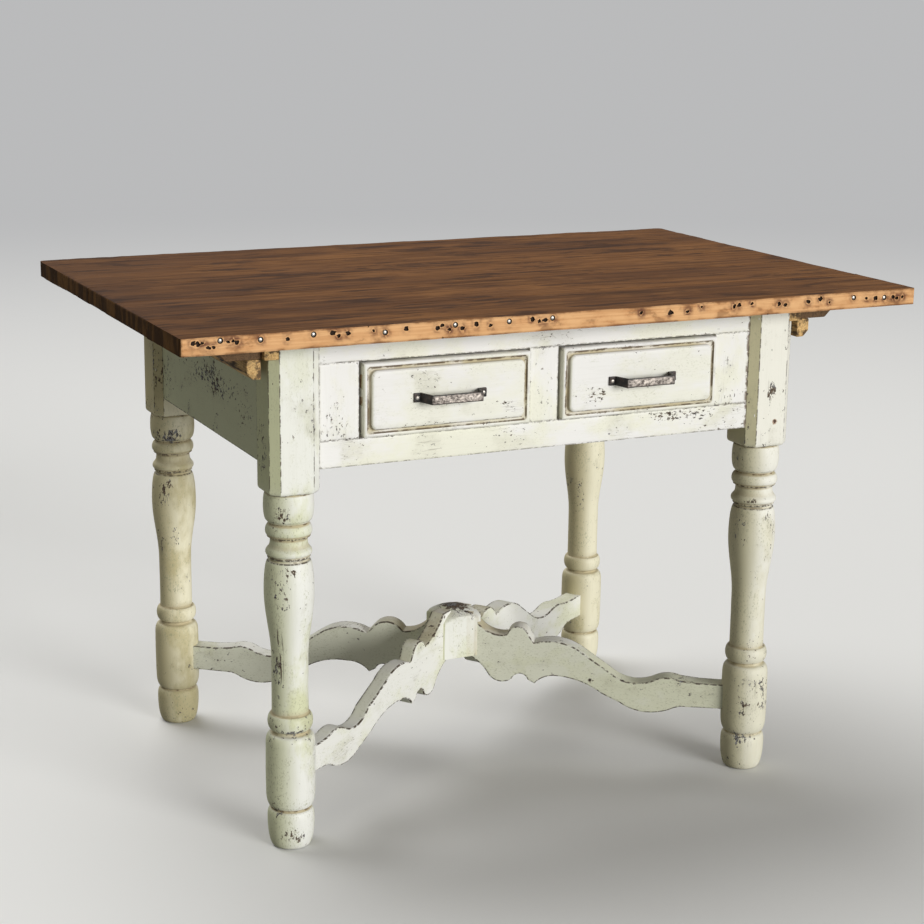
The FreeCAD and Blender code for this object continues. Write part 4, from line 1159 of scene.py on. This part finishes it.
def armOutline(steps, start, run):
    outline = [(start, steps.get("start", armShape["start"]) * mm)]
    ending = [(armShape["tenon"], armShape["endTop"]), (armShape["tenon"], armShape["endLow"])]
    for step in steps["upper"] + ending + steps["lower"]:
        ends = [(start + x * run, z * mm) for x, z in zip(step[::2], step[1::2])]
        if len(ends) == 1:
            outline.append(ends[0])
        else:
            outline += arcPoints(outline[-1], ends[0], ends[1], armShape["arcSteps"])
    return outline


def buildArm(corner, seed):
    look = armShape
    steps = armSteps[corner]
    centre, legAt = middleOf("stretcher_hub"), middleOf("leg_" + corner)
    start = look["hubFlat"] * mm
    run = math.hypot(legAt.x - centre.x, legAt.y - centre.y) - start
    way = 1 if legAt.x < centre.x else -1
    near, far = way * steps.get("nearSide", look["nearSide"]) * mm, way * look["farSide"] * mm
    bm = slab([(x, far, z) for x, z in armOutline(steps, start, run)], (0, near - far, 0))
    cutAlong(bm, 1, look["cell"])
    half, middle = abs(near - far) / 2, (near + far) / 2
    rims = [e for e in bm.edges if all(same(abs(v.co.y - middle), half) for v in e.verts)
            and same(e.verts[0].co.y, e.verts[1].co.y)]
    rounded(bm, rims, look["edge"])
    # the two many-sided flats get rims of their own before they are divided
    for _ in range(2):
        flats = [f for f in bm.faces if len(f.verts) > 20]
        bmesh.ops.inset_region(bm, faces=flats, thickness=look["inset"], use_even_offset=True)
    bmesh.ops.triangulate(bm, faces=[f for f in bm.faces if len(f.verts) > 20])
    turn = Matrix.Rotation(math.atan2(legAt.y - centre.y, legAt.x - centre.x), 3, "Z")
    bmesh.ops.rotate(bm, verts=bm.verts, cent=(0, 0, 0), matrix=turn)
    bmesh.ops.translate(bm, vec=(centre.x, centre.y, 0), verts=bm.verts)
    wavered(bm, look["waver"], seed)
    markWear(bm, look["wear"], armSpots.get(corner, ()))
    dirtLayer = floats(bm, "groove dirt")
    for vert in bm.verts:
        away = math.hypot(vert.co.x - centre.x, vert.co.y - centre.y) / mm
        if vert.normal.z > 0.35 and away < look["dustNone"]:
            dust = 1.0 - max(0.0, away - look["dustAll"]) / (look["dustNone"] - look["dustAll"])
            vert[dirtLayer] = max(vert[dirtLayer], dust)
    name = "stretcher_arm_" + corner
    return painted(name + "_sawn", bm, "paintStretcher", "table", name)


for count, corner in enumerate(corners):
    buildArm(corner, 51.0 + count)

hubShape = {
    "width": 75.0, "chamfer": 4.0, "cutCorner": 0.0625, "shoulder": 219.0, "crown": 238.0,
    "sideRings": 9, "domeRings": 12, "waver": (0.0005, 22.0), "wear": (0.002, 90.0, 400.0),
    # the front's right part is darker: where that begins, where it gets darker still, and how much
    "darkenedFace": -0.03, "darkenedFrom": 0.006, "darkestFrom": 0.021, "darkened": 0.22, "darkest": 0.55,
}
hubSpots = [((0.0, 0.004, 0.239), (0.04, 0.04, 0.011), 1.7)]


def hubProfile(foot):
    look = hubShape
    reach = blankRadius(look["width"], look["chamfer"])
    rise = look["crown"] - look["shoulder"]
    domeRadius = (reach ** 2 + rise ** 2) / (2 * rise)
    points = [(0.0, foot + 5.0), (20.0, foot + 3.5), (34.0, foot), (reach, foot)]
    for i in range(1, look["sideRings"]):
        points.append((reach, foot + (look["shoulder"] - foot) * i / look["sideRings"]))
    for i in range(look["domeRings"] + 1):
        out = reach * (1 - i / look["domeRings"])
        points.append((out, look["crown"] - domeRadius + math.sqrt(domeRadius ** 2 - out ** 2)))
    return points


def buildHub():
    look = hubShape
    low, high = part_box("stretcher_hub")
    centre = (low + high) / 2
    bm = latheMesh(hubProfile(low.z / mm))
    # the corner over the front left arm is almost square, the other three are cut off
    pressedSquare(bm, look["width"], look["chamfer"], low.z - 0.01)
    for vert in bm.verts:
        over = (abs(vert.co.x) + abs(vert.co.y)) / look["cutCorner"]
        if over > 1.0 and not (vert.co.x < 0.0 and vert.co.y < 0.0):
            vert.co.x /= over
            vert.co.y /= over
    wavered(bm, look["waver"], 61.0)
    markWear(bm, look["wear"], hubSpots)
    dirtLayer = floats(bm, "groove dirt")
    # the right part of the front is darkened, its outer strip more
    for vert in bm.verts:
        if vert.co.y < look["darkenedFace"] and vert.co.x > look["darkenedFrom"]:
            dirt = look["darkened"] if vert.co.x < look["darkestFrom"] else look["darkest"]
            vert[dirtLayer] = max(vert[dirtLayer], dirt)
    bmesh.ops.translate(bm, vec=(centre.x, centre.y, 0.0), verts=bm.verts)
    return painted("stretcher_hub_block", bm, "paintHub", "table", "stretcher_hub")


buildHub()
print("stretcher joined")


# ---- drawers

drawerLook = {
    "border": 5.5, "borderRound": 3.2, "borderProud": 10.5, "grooveWidth": 5.2, "grooveDeep": 7.3,
    "fieldProud": 14.0, "fieldChamfer": 2.2, "cornerSteps": 6, "cell": 0.0075,
    "waver": (0.00025, 14.0), "wear": (0.0012, 90.0, 420.0),
    # old dirt: along the bead, wider near the left end and the top, where the wider line is partly painted
    # shade, and on the field's lip
    "beadDirt": 1.5, "beadShadedWidth": 2.4, "beadNarrow": 1.6, "lipDirt": 1.1, "endZone": 14.0,
}
drawerSpots = {
    "left": [((0.1, 0.0, -0.018), (0.035, 0.03, 0.012), 0.6),
             ((-0.02, 0.0, 0.034), (0.09, 0.03, 0.006), 0.25),
             ((-0.03, 0.0, -0.04), (0.06, 0.03, 0.007), 0.7)],
    "right": [((-0.075, 0.0, -0.02), (0.026, 0.03, 0.018), 1.65),
              ((0.1, 0.0, 0.02), (0.012, 0.03, 0.05), 0.35),
              ((-0.02, 0.0, -0.047), (0.1, 0.03, 0.006), 0.6)],
}


def roundCorners(halfW, halfH, radius):
    # the points of a round-cornered rectangle, from the right end of the top corner round
    places = []
    steps = drawerLook["cornerSteps"]
    for corner, (sx, sz) in enumerate(((1, 1), (-1, 1), (-1, -1), (1, -1))):
        for step in range(steps + 1):
            turn = math.pi / 2 * (corner + step / steps)
            places.append((sx * (halfW - radius) + radius * math.cos(turn),
                           sz * (halfH - radius) + radius * math.sin(turn)))
    return places


def mouldingRings(back):
    # inset, corner radius and depth of each line of the moulding, from the field out and round to the back
    look = drawerLook
    sunk, deep, bend = look["border"], look["grooveDeep"], look["borderRound"]
    field = sunk + look["grooveWidth"]
    slope = field + look["fieldChamfer"]
    rings = [(slope + 6.0, 6.0, 0.0), (slope + 1.2, 8.0, 0.0), (slope, 8.6, 0.25), (field + 0.5, 8.9, 1.6),
             (field, 9.0, 3.0), (field - 0.3, 9.2, deep - 0.8), (field - 1.2, 8.6, deep),
             (field - 3.2, 7.2, deep - 0.2), (sunk + 0.7, 6.4, deep - 1.4), (sunk, 6.0, 5.0),
             (sunk - 0.5, 5.4, 3.9)]
    for i in range(6):
        turn = math.pi / 2 * i / 5
        rings.append((bend * (1 - math.sin(turn)), 4.0 * (1 - i / 5) + 0.8,
                      look["fieldProud"] - look["borderProud"] + bend * (1 - math.cos(turn))))
    return rings + [(0.0, 0.8, 8.0), (0.0, 0.8, back - 0.8), (0.8, 0.8, back)]


def loopEdges(bm, loop):
    return [bm.edges.get(pair) for pair in zip(loop, loop[1:] + loop[:1])]


def buildDrawerFront(sideName, seed):
    look = drawerLook
    node = sideName + "_drawer_front"
    low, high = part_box(node)
    origin = Vector(((low.x + high.x) / 2, low.y, (low.z + high.z) / 2))
    halfW, halfH = (high.x - low.x) / 2 / mm, (high.z - low.z) / 2 / mm
    bm = bmesh.new()
    loop = []
    for inset, radius, deep in mouldingRings((high.y - low.y) / mm):
        places = [Vector((origin.x + x * mm, low.y + deep * mm, origin.z + z * mm))
                  for x, z in roundCorners(halfW - inset, halfH - inset, radius)]
        if not loop:
            loop = [bm.verts.new(place) for place in places]
            bm.faces.new(loop)
            continue
        # each step of the moulding is one extrusion of the open edge, drawn out to its new outline
        fresh = newVerts(bmesh.ops.extrude_edge_only(bm, edges=loopEdges(bm, loop)))
        loop = [next(v for v in fresh if any(e.other_vert(v) == old for e in v.link_edges)) for old in loop]
        for vert, place in zip(loop, places):
            vert.co = place
    bm.faces.new(loop[::-1])
    bmesh.ops.recalc_face_normals(bm, faces=bm.faces)
    for axis in (0, 2):
        cutAlong(bm, axis, look["cell"], 4, 0)
    wavered(bm, look["waver"], seed)
    markWear(bm, look["wear"], [(origin + Vector(c), s, k) for c, s, k in drawerSpots[sideName]])
    deepLayer = floats(bm, "deep line")
    sunk, zone = look["border"], look["endZone"]
    field = sunk + look["grooveWidth"]
    for vert in bm.verts:
        x, z = (vert.co.x - origin.x) / mm, (vert.co.z - origin.z) / mm
        inset, deep = min(halfW - abs(x), halfH - abs(z)), (vert.co.y - low.y) / mm
        # the line is wider near the left end and the top: partly painted shade
        shown = look["beadShadedWidth"] if x < zone - halfW or z > halfH - zone else look["beadNarrow"]
        bead = sunk - 0.8 < inset < sunk + shown and 4.0 < deep < 9.0
        lip = abs(inset - field) < 0.8 and 0.2 < deep < 7.0 and (halfW - x < zone or halfH + z < zone)
        vert[deepLayer] = look["beadDirt"] if bead else look["lipDirt"] if lip else 0.0
    return painted(sideName + "_drawer_moulding", bm, "paintDrawers", sideName + "_drawer", node)


# ---- pulls

pullShape = {
    "strap": 3.0, "footLength": 9.0, "barLength": 80.0, "edge": 0.0006, "bend": 0.0012,
    "cell": 0.0022, "longCell": 0.004, "waver": (0.0004, 90.0), "wear": (0.0006, 200.0, 900.0),
    "rubbedReach": (0.06, 0.0015, 0.02), "rubbed": 1.5, "headRadius": 0.0031, "headFlatness": 0.5,
}


def buildPull(sideName, seed):
    look = pullShape
    node = sideName + "_drawer_pull"
    low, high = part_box(node)
    centreX = (low.x + high.x) / 2
    strap, foot = look["strap"] * mm, (high.x - low.x) / 2
    heel = foot - look["footLength"] * mm
    bar = look["barLength"] * mm / 2
    outer = [(-foot, high.y), (-foot, high.y - strap), (-heel, high.y - strap), (-bar, low.y), (bar, low.y),
             (heel, high.y - strap), (foot, high.y - strap), (foot, high.y)]
    inner = [(heel - strap, high.y), (bar - strap, low.y + strap), (strap - bar, low.y + strap),
             (strap - heel, high.y)]
    bm = slab([(centreX + x, y, low.z) for x, y in outer + inner], (0, 0, high.z - low.z))
    bends = [e for e in bm.edges if abs(e.verts[0].co.z - e.verts[1].co.z) > 0.005
             and same(e.verts[0].co.y, low.y)]
    rounded(bm, bends, look["bend"])
    cutAlong(bm, 2, look["cell"])
    rounded(bm, [e for e in sharpEdges(bm, 0.9) if same(e.verts[0].co.z, e.verts[1].co.z)], look["edge"])
    cutAlong(bm, 0, look["longCell"], 4, 0)
    wavered(bm, look["waver"], seed)
    middle = (centreX, low.y, (low.z + high.z) / 2)
    markWear(bm, look["wear"], [(middle, look["rubbedReach"], look["rubbed"])])
    name = sideName + "_drawer_pull_strap"
    return finished(name, bm, [pullIron], sideName + "_drawer", [node])


def buildPullScrews(sideName):
    node = sideName + "_drawer_pull_screws"
    low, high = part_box(node)
    radius, flatness = pullShape["headRadius"], pullShape["headFlatness"]
    bm = bmesh.new()
    for x in (low.x + radius, high.x - radius):
        domed(bm, radius, flatness, (x, low.y + radius * flatness, (low.z + high.z) / 2), 8)
    name = sideName + "_drawer_pull_heads"
    return finished(name, bm, [nailHead], sideName + "_drawer", [node])


for count, sideName in enumerate(("left", "right")):
    buildDrawerFront(sideName, 71.0 + count)
    buildPull(sideName, 81.0 + count)
    buildPullScrews(sideName)
print("drawers fronted")


# ---- pieces whose CAD shape is kept

pegShrink = 0.85


def dressed(material, *starts):
    for name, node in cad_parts.items():
        if name.startswith(starts):
            node.data.materials.clear()
            node.data.materials.append(material)


dressed(pine["innerPineY"], "drawer_runner", "drawer_kicker")
dressed(pine["innerPineX"], "drawer_stops")
dressed(nailIron, "batten_nails")
for sideName in ("left", "right"):
    dressed(pine["drawerPineY"], sideName + "_drawer_side")
    dressed(pine["drawerPineX"], sideName + "_drawer_back", sideName + "_drawer_bottom")


def island(seed, seen):
    # every vertex that hangs together with the seed
    found = [seed]
    seen.add(seed)
    for vert in found:
        for edge in vert.link_edges:
            other = edge.other_vert(vert)
            if other not in seen:
                seen.add(other)
                found.append(other)
    return found


def buildPegs():
    # the pegs end a hair below the paint, as they do under several coats
    bm = bmesh.new()
    bm.from_mesh(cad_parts["joint_pegs"].data)
    bmesh.ops.remove_doubles(bm, verts=bm.verts, dist=1e-5)
    seen = set()
    for seed in bm.verts:
        if seed not in seen:
            peg = island(seed, seen)
            middle = sum((v.co for v in peg), Vector()) / len(peg)
            for vert in peg:
                vert.co = middle + (vert.co - middle) * pegShrink
    return painted("peg_ends", bm, "paintUprights", "table", "joint_pegs")


buildPegs()
print("inside dressed")


# ---- floor, light and camera

cameraSet = {
    "place": (-1.3594, -2.8832, 1.2641), "turn": 0.4202, "tilt": 0.2417, "roll": 0.0075,
    "lens": 79.1, "shiftX": 0.0455, "sensor": 36.0, "farthest": 100.0,
}
lightSet = {
    # strength, turn from the front to the right, rise and size, in degrees
    "front": (2.98, 20.0, 10.0, 28.0), "back": (2.0, 198.0, 56.0, 50.0), "tint": (1.0, 0.997, 0.985),
    "sky": 0.175, "skyTint": (1.0, 0.985, 0.93), "seen": 0.5, "seenTint": (0.985, 0.99, 1.0),
    "floorSeen": (0.84, 0.84, 0.83), "floorBounce": (0.26, 0.26, 0.25), "floorSize": 30.0,
    "fadeFrom": 2.0, "fadeTo": 7.5, "lampAway": 6.0,
}


def farLamp(name):
    # a wide lamp far away gives every part the same light
    strength, turn, rise, size = lightSet[name]
    lamp = bpy.data.lights.new(name, "SUN")
    lamp.energy = strength
    lamp.angle = math.radians(size)
    lamp.color = lightSet["tint"]
    turn, rise = math.radians(turn), math.radians(rise)
    away = Vector((math.sin(turn) * math.cos(rise), -math.cos(turn) * math.cos(rise), math.sin(rise)))
    box = added(name, lamp)
    box.location = away * lightSet["lampAway"]
    box.rotation_euler = (-box.location).to_track_quat("-Z", "Y").to_euler()


def buildFloor():
    bm = bmesh.new()
    bmesh.ops.create_grid(bm, x_segments=1, y_segments=1, size=lightSet["floorSize"])
    mesh = bpy.data.meshes.new("floor")
    bm.to_mesh(mesh)
    bm.free()
    material, shader, place = startMaterial("floorPale", Specular_IOR_Level=0.1, Roughness=0.8)
    camera = place.node("LightPath")
    plug(shader, Base_Color=camera.blended(lightSet["floorBounce"], lightSet["floorSeen"]))
    # far away the floor fades into the backdrop
    backdrop = place.node("Emission", {"Color": (*lightSet["seenTint"], 1.0), "Strength": lightSet["seen"]})
    across = place.node("VectorMath", {0: place.stretched((1.0, 1.0, 0.0))}, {"operation": "LENGTH"}, 1)
    fade = across.between(lightSet["fadeFrom"], lightSet["fadeTo"]) * camera
    tree = material.node_tree
    mixed = fade.node("MixShader", {0: fade, 1: Wire(tree, shader.outputs[0]), 2: backdrop})
    tree.links.new(mixed.socket, tree.nodes["Material Output"].inputs["Surface"])
    mesh.materials.append(material)
    floor = added("floor", mesh)


def buildSky():
    world = bpy.data.worlds.new("studio")
    world.use_nodes = True
    bpy.context.scene.world = world
    wires = Wire(world.node_tree)
    seen = wires.node("LightPath").most(wires.node("LightPath", None, None, 3))
    tint = seen.blended(lightSet["skyTint"], lightSet["seenTint"])
    strength = lightSet["sky"] + seen * (lightSet["seen"] - lightSet["sky"])
    plug(world.node_tree.nodes["Background"], Color=tint, Strength=strength)


def placeCamera():
    lens = bpy.data.cameras.new("camera")
    lens.lens = cameraSet["lens"]
    lens.sensor_width = cameraSet["sensor"]
    lens.shift_x = cameraSet["shiftX"]
    lens.clip_end = cameraSet["farthest"]
    camera = added("camera", lens)
    turn = Matrix.Rotation(-cameraSet["turn"], 4, "Z")
    tilt = Matrix.Rotation(math.pi / 2 - cameraSet["tilt"], 4, "X")
    roll = Matrix.Rotation(cameraSet["roll"], 4, "Z")
    camera.matrix_world = Matrix.Translation(cameraSet["place"]) @ turn @ tilt @ roll
    bpy.context.scene.camera = camera


buildFloor()
buildSky()
farLamp("front")
farLamp("back")
placeCamera()
bpy.context.scene.view_settings.view_transform = "Standard"
print("stage set")
